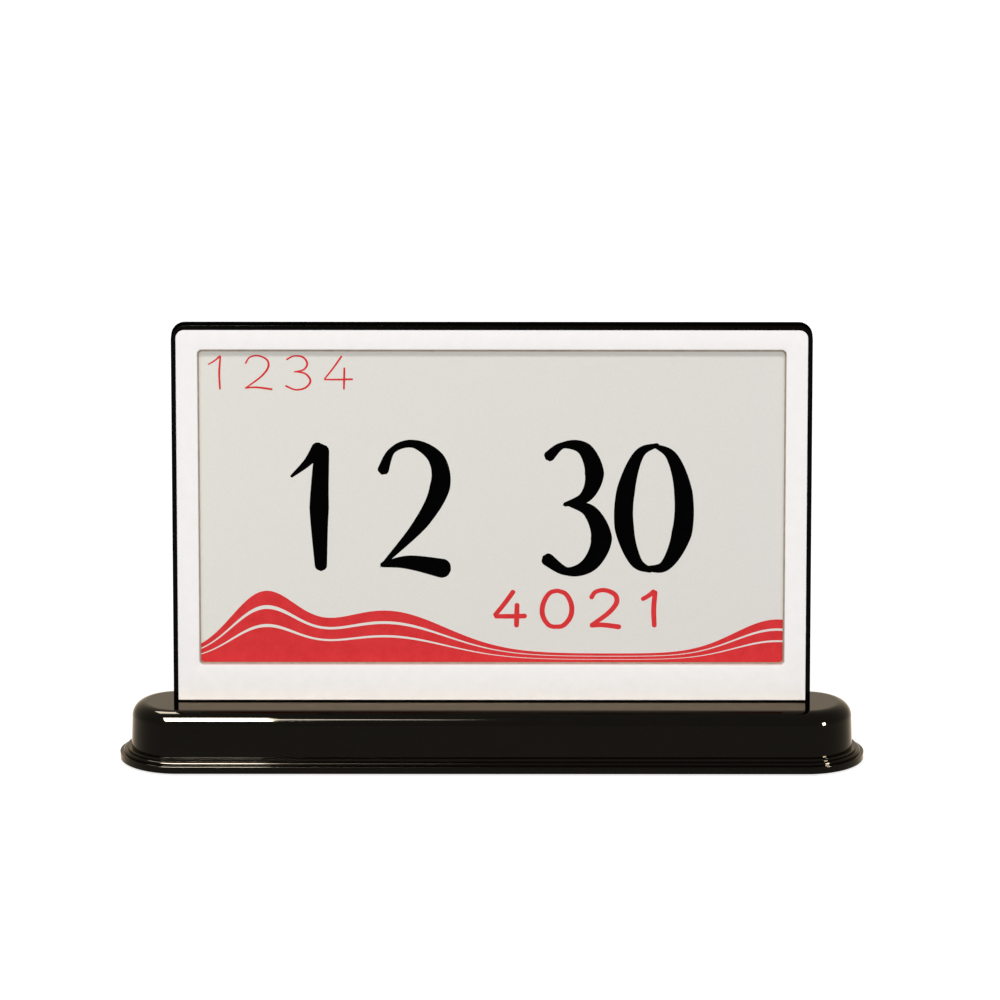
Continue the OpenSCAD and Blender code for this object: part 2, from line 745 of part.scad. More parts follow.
// Display: film, glass, driver chip, flex and tape
module epaper_front_film() color(paper)
    block([-film_w() / 2, film_y, glass_z + ledge_h], [film_w() / 2, glass_y, film_top()]);
module epaper_backplane() color(glass_tint)
    block([-glass_w / 2, glass_y, glass_z], [glass_w / 2, tape_y, glass_top]);
module display_driver_ic() color(dark_chip)
    block([-chip_w / 2, glass_y - chip_t, glass_z + bond_h + chip_gap],
        [chip_w / 2, glass_y, glass_z + bond_h + chip_gap + chip_h]);
module display_flex() color(flex_amber) {
    loop_mid_y = (loop_front_y + loop_back_y) / 2;
    strip(0, flex_w) ribbon(concat(
        [[loop_front_y + flex_t / 2, glass_z + bond_h]],
        arc([loop_mid_y, loop_z], loop_r - flex_t / 2, 180, 360, round_steps),
        [[loop_back_y - flex_t / 2, board_z - board_lift - part_h],
            [lead_in_y, board_z - flex_t],
            [lead_in_y, board_z + header_in]]), flex_t);
}
module display_tape() color(tape_yellow)
    for (side = [0, 1])
        mirror([side, 0, 0])
            block([glass_w / 2 - display_tape_in - display_tape_w, tape_y, bezel_z],
                [glass_w / 2 - display_tape_in, web_y, glass_top - display_tape_in]);

// Main board and its parts
module main_board() color(board_green) difference() {
    block([-board_w / 2, board_y, board_z], [board_w / 2, board_back_y, board_top]);
    for (p = board_boss_places())
        rod_y(p[0], p[1], board_y - over, board_back_y + over, board_screw[0] + 2 * seat_gap);
}
module main_board_screws() color(steel)
    for (p = board_boss_places())
        translate([p[0], board_back_y, p[1]]) rotate([90, 0, 0]) screw(board_screw);
module board_part(x, z, w, h, t) block([x - w / 2, board_back_y, z], [x + w / 2, board_back_y + t, z + h]);
module radio_module() color(steel)
    board_part(radio_x + radio_size[0] / 2, board_z + radio_rise, radio_size[0], radio_size[1], part_h);
module controller_chip() color(dark_chip)
    board_part(controller_x + controller_side / 2, board_z + controller_rise, controller_side,
        controller_side, controller_h);
module boost_parts() color(dark_chip)
    for (i = [0 : len(boost_sizes) - 1])
        board_part(boost_places[i][0], board_z + boost_places[i][1], boost_sizes[i][0],
            boost_sizes[i][1], part_h);

// A socket on the board with a mouth for a flat cable or leads
module edge_socket(x, z, w, mouth_w, mouth_t, mouth_z, mouth_h) difference() {
    board_part(x, z, w, header_h, part_h);
    block([x - mouth_w / 2 - seat_gap, lead_in_y - mouth_t / 2 - seat_gap, mouth_z],
        [x + mouth_w / 2 + seat_gap, lead_in_y + mouth_t / 2 + seat_gap, mouth_z + mouth_h]);
}
module flex_connector() color(white)
    edge_socket(0, board_z + header_in - seat_gap, flex_connector_w, flex_w, flex_mouth_t,
        board_z, header_in);
module cable_header() color(white)
    edge_socket(link_x, board_z + header_in, link_w + 2 * header_side, link_w, link_mouth_t, board_z,
        header_in + header_in);
module battery_header() color(white)
    board_part(0, board_top - header_in - header_h, battery_header_w, header_h, part_h);

// Flat battery cell with its protection board, tape and leads
module battery_cell() color(cell_grey)
    block([-cell_w / 2, cell_y, cell_z], [cell_w / 2, cell_y + cell_t, cell_z + cell_h]);
module battery_guard_board() color(board_green)
    block([-guard_w / 2, lead_in_y - guard_t / 2, guard_z], [guard_w / 2, lead_in_y + guard_t / 2, cell_z]);
module battery_tape() color(tape_yellow)
    for (z = [cell_z + cell_tape_in, cell_z + cell_h - cell_tape_in - cell_tape_h])
        block([-cell_tape_w / 2, frame_back_y, z], [cell_tape_w / 2, cell_y, z + cell_tape_h]);
module battery_leads() color(lead_red)
    for (side = [-1, 1])
        rod_z(side * lead_pitch / 2, lead_in_y, board_top - header_in, guard_z, lead_dia);

// Cable from the control board to the main board
module link_cable() color(dark_chip)
    strip(link_x, link_w) ribbon([
        [io_y + link_header_in, link_in_z],
        [link_up_y + link_rise, link_in_z],
        [link_up_y + link_rise * link_corner_share, link_in_z + link_rise * link_corner_share],
        [link_up_y, link_in_z + link_rise],
        [link_up_y, board_z - board_lift - 2 * part_h],
        [lead_in_y, board_z - link_t],
        [lead_in_y, board_z + header_in + header_in / 2]], link_t);

// Black moulded base with its hollow, the channel for the tongue and the bosses
module base_shell() color(black) difference() {
    union() {
        difference() {
            spine_sweep(base_section());
            spine_sweep(hollow_section());
            spine_slab(plate_hole_r, shell_z - over, plate_top);
        }
        block([-slot_w / 2 - channel_t, channel_y, channel_z],
            [slot_w / 2 + channel_t, channel_back_y, ceiling_z + shell_t / 2]);
        for (p = plate_boss_places)
            if (abs(p[0]) > run) {
                rod_z(p[0], p[1], plate_top, ceiling_z + shell_t / 2, 2 * end_boss_r);
            } else {
                rod_z(p[0], p[1], plate_top, channel_z + channel_floor_t / 2, 2 * mid_boss_r);
            }
        for (x = io_boss_x())
            rod_z(x, io_boss_y(), io_top, ceiling_z + shell_t / 2, 2 * io_boss_r);
    }
    // Slot for the tongue
    block([-slot_w / 2, slot_y, channel_floor_z], [slot_w / 2, slot_back_y, base_top + over]);
    // Way of the link cable through the channel's rear wall
    block([link_x - link_groove_w() / 2, slot_back_y - over, link_window_z],
        [link_x + link_groove_w() / 2, channel_back_y + over, link_window_z + link_window_h]);
    // Screw holes
    for (p = plate_boss_places)
        rod_z(p[0], p[1], plate_top - over, plate_z + plate_screw[1] + seat_gap,
            plate_screw[0] + 2 * seat_gap);
    for (x = panel_screw_x) {
        rod_z(x, tongue_mid_y, channel_z - over, channel_floor_z + over, panel_screw[0] + 2 * seat_gap);
        rod_z(x, tongue_mid_y, channel_z - over, channel_z + panel_bore_depth, panel_screw[2] + 2 * seat_gap);
    }
    for (x = io_boss_x())
        rod_z(x, io_boss_y(), io_top - over, io_z + io_screw[1] + pilot_spare, io_screw[0] + 2 * seat_gap);
    // Openings of the rear wall
    translate([socket_x, 0, socket_z]) rear_cut(socket_w + 2 * seat_gap, socket_h + 2 * seat_gap, socket_r);
    translate([button_x, 0, socket_z])
        rear_cut(button_w + 2 * control_gap, button_h + 2 * control_gap, button_h / 2 + control_gap);
    translate([switch_x, 0, socket_z])
        rear_cut(slider_w + slider_travel + 2 * control_gap, slider_h + 2 * control_gap, slider_h / 4);
    rod_y(lamp_x, socket_z, wall_in_y - over, wall_out_y + over, lamp_dia + 2 * seat_gap);
}
function io_boss_x() = [io_left + io_boss_in, io_left + io_l - io_boss_in];
function io_boss_y() = (io_y + io_back_y) / 2;
module rear_cut(w, h, r) upright(wall_in_y - over, wall_out_y - wall_in_y + 2 * over)
    polygon(rounded(-w / 2, w / 2, -h / 2, h / 2, r, r));

// Plate that closes the base, with foot pockets and countersunk holes
module base_plate() color(black) difference() {
    spine_slab(plate_r, plate_z, plate_top);
    for (p = plate_boss_places)
        sunk_bore(p[0], p[1], plate_z, plate_screw);
    for (p = ballast_screw_places())
        sunk_bore(p[0], p[1], plate_z, ballast_screw);
    for (p = foot_places())
        rod_z(p[0], p[1], plate_z - over, foot_t, foot_dia + 2 * seat_gap);
}
function foot_places() = [for (sx = [-1, 1], sy = [-1, 1]) [sx * foot_x, sy * foot_y]];
function front_bar_mid() = (front_bar_y + front_bar_back_y) / 2;
function rear_bar_mid() = (rear_bar_y + rear_bar_back_y) / 2;
function bar_screw_x(right) = [bar_left + bar_screw_in, right - bar_screw_in];
function ballast_screw_places() = concat([for (x = bar_screw_x(front_bar_right)) [x, front_bar_mid()]],
    [for (x = bar_screw_x(rear_bar_right)) [x, rear_bar_mid()]]);
module base_plate_screws() color(steel)
    for (p = plate_boss_places)
        translate([p[0], p[1], plate_z]) screw(plate_screw, true);
module rubber_feet() color(rubber_grey)
    for (p = foot_places())
        rod_z(p[0], p[1], 0, foot_t, foot_dia);

// Steel ballast bars, screwed to the plate
module ballast_bar(right, y0, y1) color(steel) difference() {
    block([bar_left, y0, plate_top], [right, y1, shoulder_z]);
    for (x = bar_screw_x(right))
        rod_z(x, (y0 + y1) / 2, plate_top - over, plate_z + ballast_screw[1] + pilot_spare,
            ballast_screw[0] + 2 * seat_gap);
}
module front_ballast_bar()
    ballast_bar(front_bar_right, front_bar_y, front_bar_back_y);
module rear_ballast_bar()
    ballast_bar(rear_bar_right, rear_bar_y, rear_bar_back_y);
module ballast_screws() color(steel)
    for (p = ballast_screw_places())
        translate([p[0], p[1], plate_z]) screw(ballast_screw, true);

// Screws that pull the tongue down into the channel
module panel_screws() color(steel)
    for (x = panel_screw_x)
        translate([x, tongue_mid_y, channel_z + panel_bore_depth]) screw(panel_screw);

// Control board, hung from two bosses behind the rear wall, with its edge cut back under the button
module io_board() color(board_green) difference() {
    block([io_left, io_y, io_z], [io_left + io_l, io_back_y, io_top]);
    for (x = io_boss_x())
        rod_z(x, io_boss_y(), io_z - over, io_top + over, io_screw[0] + 2 * seat_gap);
    block([button_x - button_w / 2 - control_gap, key_cut_y, io_z - over],
        [button_x + button_w / 2 + control_gap, wall_in_y, io_top + over]);
}
module io_board_screws() color(steel)
    for (x = io_boss_x())
        translate([x, io_boss_y(), io_z]) screw(io_screw);
module link_header() color(white) difference() {
    block([link_x - link_header_w / 2, io_y, io_top],
        [link_x + link_header_w / 2, io_y + link_header_d, io_top + link_header_h]);
    block([link_x - link_w / 2 - seat_gap, io_y - over, link_in_z - link_t / 2 - seat_gap],
        [link_x + link_w / 2 + seat_gap, io_y + link_header_in + seat_gap,
            link_in_z + link_t / 2 + seat_gap]);
}

// Charging socket: a rolled steel shell and its contact blade
module usb_socket() color(steel) translate([socket_x, 0, socket_z]) difference() {
    upright(socket_back_y - socket_l, socket_l)
        polygon(rounded(-socket_w / 2, socket_w / 2, -socket_h / 2, socket_h / 2, socket_r, socket_r));
    upright(socket_back_y - socket_l + socket_shell_t, socket_l)
        polygon(rounded(socket_shell_t - socket_w / 2, socket_w / 2 - socket_shell_t,
            socket_shell_t - socket_h / 2, socket_h / 2 - socket_shell_t,
            socket_r - socket_shell_t, socket_r - socket_shell_t));
}
module usb_contact_blade() color(dark_chip)
    block([socket_x - blade_w / 2, socket_back_y - socket_l + socket_shell_t, socket_z - blade_t / 2],
        [socket_x + blade_w / 2, socket_back_y - socket_l + socket_shell_t + blade_l,
            socket_z + blade_t / 2]);

// Slide switch, its moving stub and the slider that shows
module slide_switch_body() color(dark_chip) difference() {
    block([switch_x - switch_w / 2, switch_y, io_top],
        [switch_x + switch_w / 2, switch_y + switch_d, io_top + switch_h]);
    block([switch_x - stub_slot_half(), switch_y + switch_d - stub_in - stub_gap,
        io_top + stub_rise - stub_gap],
        [switch_x + stub_slot_half(), switch_y + switch_d + over, io_top + stub_rise + stub_h + stub_gap]);
}
// Plate inside the wall that keeps a control from falling out
module wing(w) block([-w / 2, wing_back_y, -wing_h / 2], [w / 2, wing_back_y + wing_t, wing_h / 2]);
function stub_slot_half() = (stub_w + slider_travel) / 2 + stub_gap;
function slider_rest_x() = switch_x - slider_travel / 2;
module switch_stub() color(white)
    block([slider_rest_x() - stub_w / 2, switch_y + switch_d - stub_in, io_top + stub_rise],
        [slider_rest_x() + stub_w / 2, wing_back_y, io_top + stub_rise + stub_h]);
module power_slider() color(black) translate([slider_rest_x(), 0, socket_z]) {
    wing(slider_wing_w);
    block([-slider_w / 2, wing_back_y + wing_t, -slider_h / 2], [slider_w / 2, knob_back_y, slider_h / 2]);
    for (i = [-1 : 1])
        block([i * rib_pitch - rib_w / 2, knob_back_y, -slider_h / 2],
            [i * rib_pitch + rib_w / 2, knob_back_y + rib_proud, slider_h / 2]);
}

// Tact switch, its plunger and the page button that shows
module tact_switch_body() color(dark_chip) difference() {
    block([button_x - tact_w / 2, tact_y, io_top], [button_x + tact_w / 2, tact_y + tact_d, io_top + tact_h]);
    block([button_x - plunger_w / 2 - plunger_gap, tact_y + tact_d - plunger_in - button_travel - plunger_gap,
        io_top + plunger_rise - plunger_gap],
        [button_x + plunger_w / 2 + plunger_gap, tact_y + tact_d + over,
            io_top + plunger_rise + plunger_h + plunger_gap]);
}
module tact_plunger() color(white)
    block([button_x - plunger_w / 2, tact_y + tact_d - plunger_in, io_top + plunger_rise],
        [button_x + plunger_w / 2, wing_back_y, io_top + plunger_rise + plunger_h]);
module page_button() color(black) translate([button_x, 0, socket_z]) {
    wing(button_wing_w);
    upright(wing_back_y + wing_t, knob_back_y - wing_back_y - wing_t)
        polygon(rounded(-button_w / 2, button_w / 2, -button_h / 2, button_h / 2,
            button_h / 2, button_h / 2));
}

// Status light and the clear pipe that brings it to the rear wall
module status_led() color(white)
    block([lamp_x - led_w / 2, io_back_y - led_d - pipe_foot_t, io_top],
        [lamp_x + led_w / 2, io_back_y - pipe_foot_t, io_top + led_h]);
module light_pipe() color(clear) {
    block([lamp_x - pipe_foot_w / 2, io_back_y - pipe_foot_t + seat_gap, io_top + pipe_foot_rise],
        [lamp_x + pipe_foot_w / 2, wall_in_y - wing_gap, socket_z + lamp_dia / 2]);
    rod_y(lamp_x, socket_z, wall_in_y - wing_gap - wing_t, wall_out_y, lamp_dia);
}

front_bezel();
panel_frame();
back_cover();
back_cover_screws();
foam_gasket();
epaper_front_film();
epaper_backplane();
display_driver_ic();
display_flex();
display_tape();
main_board();
main_board_screws();
radio_module();
controller_chip();
flex_connector();
boost_parts();
cable_header();
battery_header();
battery_cell();
battery_guard_board();
battery_tape();
battery_leads();
link_cable();
base_shell();
base_plate();
base_plate_screws();
rubber_feet();
front_ballast_bar();
rear_ballast_bar();
ballast_screws();
panel_screws();
io_board();
io_board_screws();
link_header();
usb_socket();
usb_contact_blade();
slide_switch_body();
power_slider();
switch_stub();
tact_switch_body();
tact_plunger();
page_button();
status_led();
light_pipe();
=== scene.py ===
# %% [markdown]
# # A desk nameplate with an e-paper screen
# The object is an upright panel in a long, heavy, glossy black base. This lesson dresses the
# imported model: the frame fixes where everything is, and each cell below makes one piece or one
# finish. Lengths are written in millimetres and turned to metres at the last step.

# %% Load the frame
import math

import bmesh
import bpy
import numpy as np
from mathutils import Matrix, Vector


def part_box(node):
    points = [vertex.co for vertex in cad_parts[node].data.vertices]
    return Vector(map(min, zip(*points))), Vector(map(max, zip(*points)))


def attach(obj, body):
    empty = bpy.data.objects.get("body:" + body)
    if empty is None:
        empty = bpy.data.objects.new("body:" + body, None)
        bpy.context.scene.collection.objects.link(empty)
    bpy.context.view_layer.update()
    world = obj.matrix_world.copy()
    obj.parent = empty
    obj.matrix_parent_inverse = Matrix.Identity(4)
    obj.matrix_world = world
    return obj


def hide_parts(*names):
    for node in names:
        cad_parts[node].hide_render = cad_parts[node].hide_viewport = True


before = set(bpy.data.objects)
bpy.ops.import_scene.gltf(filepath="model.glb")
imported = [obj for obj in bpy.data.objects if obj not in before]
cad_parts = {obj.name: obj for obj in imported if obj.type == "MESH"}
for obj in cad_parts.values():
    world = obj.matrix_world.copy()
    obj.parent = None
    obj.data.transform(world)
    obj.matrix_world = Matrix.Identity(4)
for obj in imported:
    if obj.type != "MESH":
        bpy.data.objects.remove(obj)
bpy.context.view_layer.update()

MM = 0.001

# %% [markdown]
# ## Camera
# The photograph was taken from far away with a long lens, a little above the panel: its upright
# edges stay parallel, and the top of the base shows as a thin strip. A camera 3 m away gives the
# same drawing. The distance, the height and the lens were solved from the corners of the window,
# the rim and the base, and the camera is made first so that every later look is from there.

# %% Place the camera
CAMERA_AZIMUTH = 0.124
CAMERA_ELEVATION = 16.298
CAMERA_DISTANCE = 3.0
CAMERA_TARGET = Vector((2.276, 0.0, 75.75)) * MM
CAMERA_LENS = 387.3


def aim(azimuth, elevation):
    """Unit vector from the object to a viewer: (sin a cos e, -cos a cos e, sin e)."""
    a, e = math.radians(azimuth), math.radians(elevation)
    return Vector((math.sin(a) * math.cos(e), -math.cos(a) * math.cos(e), math.sin(e)))


camera_data = bpy.data.cameras.new("camera")
camera_data.lens = CAMERA_LENS
camera_data.clip_end = 20.0
camera = bpy.data.objects.new("camera", camera_data)
toward = aim(CAMERA_AZIMUTH, CAMERA_ELEVATION)
camera.location = CAMERA_TARGET + toward * CAMERA_DISTANCE
camera.rotation_mode = "QUATERNION"
camera.rotation_quaternion = (-toward).to_track_quat("-Z", "Y")
bpy.context.collection.objects.link(camera)
scene = bpy.context.scene
scene.camera = camera
scene.view_settings.view_transform = "Standard"
print("camera at", [round(v, 3) for v in camera.location])

# %% [markdown]
# ## Helpers for surfaces
# Every new piece is a grid of points: rows of matching loops, worked out as whole arrays. One
# function turns a grid into a mesh and closes it, and another gives it its body, its smooth
# shading and the CAD node that it stands for.

# %% Grids into meshes
MERGE_WITHIN = 0.0005 * MM
CREASE_ANGLE = 32


def grid_faces(rows, columns, round_rows, round_columns):
    """Quads (i, j), (i, j+1), (i+1, j+1), (i+1, j) of a grid. A round direction joins its end to
    its start."""
    i = np.arange(rows if round_rows else rows - 1)[:, None]
    j = np.arange(columns if round_columns else columns - 1)[None, :]
    i1, j1 = (i + 1) % rows, (j + 1) % columns
    quads = np.stack([i * columns + j, i * columns + j1, i1 * columns + j1, i1 * columns + j], -1)
    return quads.reshape(-1, 4)


def shell(grids, round_rows=False, caps=True):
    """A mesh of one or more closed grids, each (rows, columns, 3) in mm and round in its columns.
    Without round rows, the first and the last row are closed by caps. Doubles are merged, so a row
    that shrinks to a point becomes a pole, and the faces are turned outwards."""
    points, faces, start = [], [], 0
    for grid in grids:
        rows, columns = grid.shape[:2]
        quads = grid_faces(rows, columns, round_rows, True) + start
        faces += quads.tolist()
        if caps and not round_rows:
            first_row = np.arange(columns) + start
            faces += [first_row[::-1].tolist(), (first_row + (rows - 1) * columns).tolist()]
        points.append(grid.reshape(-1, 3) * MM)
        start += rows * columns
    mesh = bpy.data.meshes.new("shell")
    mesh.from_pydata(np.concatenate(points).tolist(), [], faces)
    work = bmesh.new()
    work.from_mesh(mesh)
    bmesh.ops.remove_doubles(work, verts=work.verts, dist=MERGE_WITHIN)
    bmesh.ops.recalc_face_normals(work, faces=work.faces)
    work.to_mesh(mesh)
    work.free()
    return mesh


def smoothed(mesh):
    """Smooth shading, with a crease wherever two faces meet at more than the crease angle."""
    mesh.shade_smooth()
    mesh.set_sharp_from_angle(angle=math.radians(CREASE_ANGLE))
    return mesh


def piece(name, mesh, body="root", stands_for=()):
    """A mesh made into a piece of the object: it rides on a body and stands for its CAD nodes."""
    obj = bpy.data.objects.new(name, smoothed(mesh))
    bpy.context.collection.objects.link(obj)
    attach(obj, body)
    if stands_for:
        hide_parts(*stands_for)
    print(f"{name}: {len(mesh.polygons)} faces")
    return obj


# %% [markdown]
# Loops come next. A moulded part is full of rounded rectangles, so one function gives a loop with
# its own radius at the foot and at the head, always with the same number of points. Loops of
# different size then match point by point and can be joined into walls and faces.

# %% Loops and roundings
CORNER_STEPS = 12
SIDE_STEPS = 10


def arc(x, z, r, start, end, steps):
    """Points (x + r cos t, z + r sin t), t from start to end in degrees."""
    t = np.radians(np.linspace(start, end, steps + 1))
    return np.stack([x + r * np.cos(t), z + r * np.sin(t)], -1)


def loop(x0, x1, z0, z1, foot_r, head_r):
    """Rounded rectangle: four quarter arcs, and points spread evenly along the straight sides."""
    corners = [arc(x1 - foot_r, z0 + foot_r, foot_r, -90, 0, CORNER_STEPS),
               arc(x1 - head_r, z1 - head_r, head_r, 0, 90, CORNER_STEPS),
               arc(x0 + head_r, z1 - head_r, head_r, 90, 180, CORNER_STEPS),
               arc(x0 + foot_r, z0 + foot_r, foot_r, 180, 270, CORNER_STEPS)]
    share = (np.arange(1, SIDE_STEPS) / SIDE_STEPS)[:, None]
    parts = []
    for here, after in zip(corners, corners[1:] + corners[:1]):
        parts += [here, here[-1] * (1 - share) + after[0] * share]
    return np.concatenate(parts)


def upright(outline, y):
    """A flat loop in X and Z, stood up at depth y."""
    return np.insert(outline, 1, y, axis=1)


def rounding(r, steps=5):
    """Pairs (inset, depth) of a quarter round of radius r, from the side wall to the front face."""
    t = np.radians(np.linspace(0, 90, steps + 1))
    return np.stack([r * (1 - np.cos(t)), r * (1 - np.sin(t))], -1)


print("a loop has", len(loop(0, 10, 0, 10, 1, 1)), "points")

# %% [markdown]
# ## White bezel
# On the real object this is one satin white moulding, 1.5 mm thick, that snaps into the black
# frame. It could be cut out of a plate with a boolean, but then its edges stay knife sharp. Here a
# loop travels round the section instead: up the outer wall, over a rounded edge, across the front,
# over the window's edge and down its wall. The roundings catch the thin lit line seen at the
# right side of the window.

# %% Bezel
bezel_low, bezel_high = (np.array(c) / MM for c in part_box("front_bezel"))
film_low, _ = (np.array(c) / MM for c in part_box("epaper_front_film"))
gasket_low, gasket_high = (np.array(c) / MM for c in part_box("foam_gasket"))
PANEL_FRONT = bezel_low[1]
BEZEL_BACK = gasket_low[1]
BEZEL_HALF = bezel_high[0]
BEZEL_FOOT, BEZEL_HEAD = bezel_low[2], bezel_high[2]
SIDE_MARGIN, FOOT_MARGIN, HEAD_MARGIN = 6.0, 10.15, 5.7
WINDOW_HALF = BEZEL_HALF - SIDE_MARGIN
WINDOW_FOOT, WINDOW_HEAD = BEZEL_FOOT + FOOT_MARGIN, BEZEL_HEAD - HEAD_MARGIN
BEZEL_CORNER, BEZEL_FOOT_CORNER, WINDOW_CORNER, LEAST_CORNER = 2.4, 0.2, 1.3, 0.02
OUTER_EDGE, WINDOW_EDGE, BACK_EDGE = 0.18, 0.3, 0.1


def bezel_loop(inset):
    """The bezel's outline, drawn in by inset."""
    return loop(inset - BEZEL_HALF, BEZEL_HALF - inset, BEZEL_FOOT + inset, BEZEL_HEAD - inset,
                max(BEZEL_FOOT_CORNER - inset, LEAST_CORNER), BEZEL_CORNER - inset)


def window_loop(outset):
    """The window's outline, let out by outset."""
    return loop(-WINDOW_HALF - outset, WINDOW_HALF + outset, WINDOW_FOOT - outset,
                WINDOW_HEAD + outset, WINDOW_CORNER + outset, WINDOW_CORNER + outset)


bezel_rows = [upright(bezel_loop(d), PANEL_FRONT + y) for d, y in rounding(OUTER_EDGE)]
bezel_rows += [upright(window_loop(d), PANEL_FRONT + y) for d, y in rounding(WINDOW_EDGE)[::-1]]
bezel_rows += [upright(window_loop(0), BEZEL_BACK - BACK_EDGE),
               upright(window_loop(BACK_EDGE), BEZEL_BACK),
               upright(bezel_loop(BACK_EDGE), BEZEL_BACK),
               upright(bezel_loop(0), BEZEL_BACK - BACK_EDGE)]
bezel_grid = np.array(bezel_rows)
print("bezel grid", bezel_grid.shape, "window", round(2 * WINDOW_HALF, 1), "mm wide")

# %% [markdown]
# Six hooks at the back hold the bezel in the frame. Each is an L in plan, and one outline carried
# upwards makes it. No modifier is needed, because such small hooks have sharp corners in life too.

# %% Hooks of the bezel
HOOK_WIDTH = 8.0
HOOK_STEM, HOOK_TIP, HOOK_BEVEL = 1.1, 0.6, 0.3
HOOK_OUT, HOOK_IN = 86.75, 84.9
HOOK_SHARES = np.array([0.22, 0.5, 0.78])
HOOK_PLACES = BEZEL_FOOT + HOOK_SHARES * (BEZEL_HEAD - BEZEL_FOOT)


def prism(outline, z_low, z_high):
    """A closed outline in X and Y carried from z_low to z_high: two rows of one grid."""
    return np.stack([np.insert(outline, 2, z, axis=1) for z in (z_low, z_high)])


def hook(side, z):
    """One hook: an L in plan, extruded upwards; side is -1 or 1."""
    stem_x = HOOK_OUT - HOOK_STEM
    back = bezel_high[1]
    plan = np.array([[stem_x, BEZEL_BACK - BACK_EDGE], [HOOK_OUT, BEZEL_BACK - BACK_EDGE],
                     [HOOK_OUT, back], [HOOK_IN + HOOK_BEVEL, back], [HOOK_IN, back - HOOK_BEVEL],
                     [HOOK_IN, back - HOOK_TIP], [stem_x, back - HOOK_TIP]])
    return prism(plan * [side, 1], z - HOOK_WIDTH / 2, z + HOOK_WIDTH / 2)


bezel_mesh = shell([bezel_grid], round_rows=True)
hook_mesh = shell([hook(side, z) for side in (-1, 1) for z in HOOK_PLACES])


def joined(first, second):
    """Two meshes as one."""
    work = bmesh.new()
    work.from_mesh(first)
    work.from_mesh(second)
    work.to_mesh(first)
    work.free()
    return first


bezel = piece("bezel", joined(bezel_mesh, hook_mesh), stands_for=["front_bezel"])

# %% [markdown]
# ## Foam gasket
# A ring of brown-grey foam fills the gap between the bezel and the film, so that no light gets
# behind the window. Its inner edge stands a little way into the window and is the thin darker line
# round the screen: partly the foam itself and partly painted shade, a dark strip set where the
# edge of the bezel shades the film. The margin is wider at the head, where the bezel hides most
# of it from above.

# %% Gasket
# How far the ring stands into the window: partly real foam, partly a painted shade line where the
# bezel shades the film.
GASKET_SHOW, GASKET_SHOW_HEAD = 0.42, 0.85
GASKET_ROUND, GASKET_DRAFT = 0.08, 0.02
INNER_CORNER, OUTER_CORNER = 1.0, 0.5
gasket_half, gasket_foot, gasket_head = gasket_high[0], gasket_low[2], gasket_high[2]


def gasket_inner(outset, y):
    """The ring's inner outline at depth y, let out by outset towards the window's walls."""
    half = WINDOW_HALF - GASKET_SHOW + outset
    foot, head = WINDOW_FOOT + GASKET_SHOW - outset, WINDOW_HEAD - GASKET_SHOW_HEAD + outset
    return upright(loop(-half, half, foot, head, INNER_CORNER, INNER_CORNER), y)


def gasket_outer(inset, y):
    """The ring's outer outline at depth y, drawn in by inset."""
    return upright(loop(inset - gasket_half, gasket_half - inset, gasket_foot + inset,
                        gasket_head - inset, OUTER_CORNER, OUTER_CORNER), y)


gasket_front, gasket_back = gasket_low[1], gasket_high[1]
gasket_grid = np.array([gasket_outer(GASKET_DRAFT, gasket_front),
                        gasket_inner(GASKET_ROUND, gasket_front),
                        gasket_inner(0.0, gasket_front + GASKET_ROUND),
                        gasket_inner(0.0, gasket_back), gasket_outer(0.0, gasket_back)])
gasket = piece("gasket", shell([gasket_grid], round_rows=True), stands_for=["foam_gasket"])

# %% [markdown]
# ## Base
# The base is a glossy black moulding with round ends: a lip, two small steps, a cove, a slightly
# leaning wall and a full shoulder. All of it is one half section carried round a stadium, which
# is exactly how a lathe and a straight cut would make the mould. The gloss shows every facet, so
# the section has many points and the ends many steps. Each straight has an extra point close to
# its ends, so that the smooth shading of the next curve doesn't creep into it. The section starts
# and ends at the middle, under the ceiling and on the top, so both skins close by themselves. The
# last number of each arc is its count of steps.

# %% Section of the base
_, plate_high = (np.array(c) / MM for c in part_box("base_plate"))
base_low, base_high = (np.array(c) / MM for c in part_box("base_shell"))
LIP_R = base_high[1]
SPINE = base_high[0] - LIP_R
SHELL_FOOT, BASE_TOP = base_low[2], base_high[2]
WALL_R = 13.0
WALL_FOOT, SHOULDER_FOOT, SHOULDER_R = 5.2, 13.0, 4.1
TOP_R = 12.7
HOLLOW_R, HOLLOW_TOP_R, HOLLOW_SHOULDER = 11.0, 10.7, 2.1
PLATE_HOLE_R, PLATE_TOP = 14.2, plate_high[2]
CEILING = BASE_TOP - 2.0
FLAT_R = TOP_R - SHOULDER_R
STEPS = [(15.13, 2.7, 3.55, 0.5), (14.07, 3.55, 4.4, 0.02)]  # radius, foot, head, rounding
HOLE_ROUND, LIP_FOOT_ROUND, LIP_ROUND, STEP_FILLET, COVE_R = 0.15, 0.3, 0.15, 0.02, 0.03


def held(profile, longest=0.3, hold=0.06):
    """The profile with two more points on every straight longer than that, hold from its ends:
    p + d hold / |d| and q - d hold / |d| for a straight d from p to q."""
    step = np.diff(profile, axis=0)
    length = np.linalg.norm(step, axis=1)
    long = np.flatnonzero(length > longest)
    shift = step[long] * (hold / length[long])[:, None]
    order = np.argsort(np.concatenate([np.arange(len(profile)), long + 1 / 3, long + 2 / 3]))
    return np.concatenate([profile, profile[long] + shift, profile[long + 1] - shift])[order]


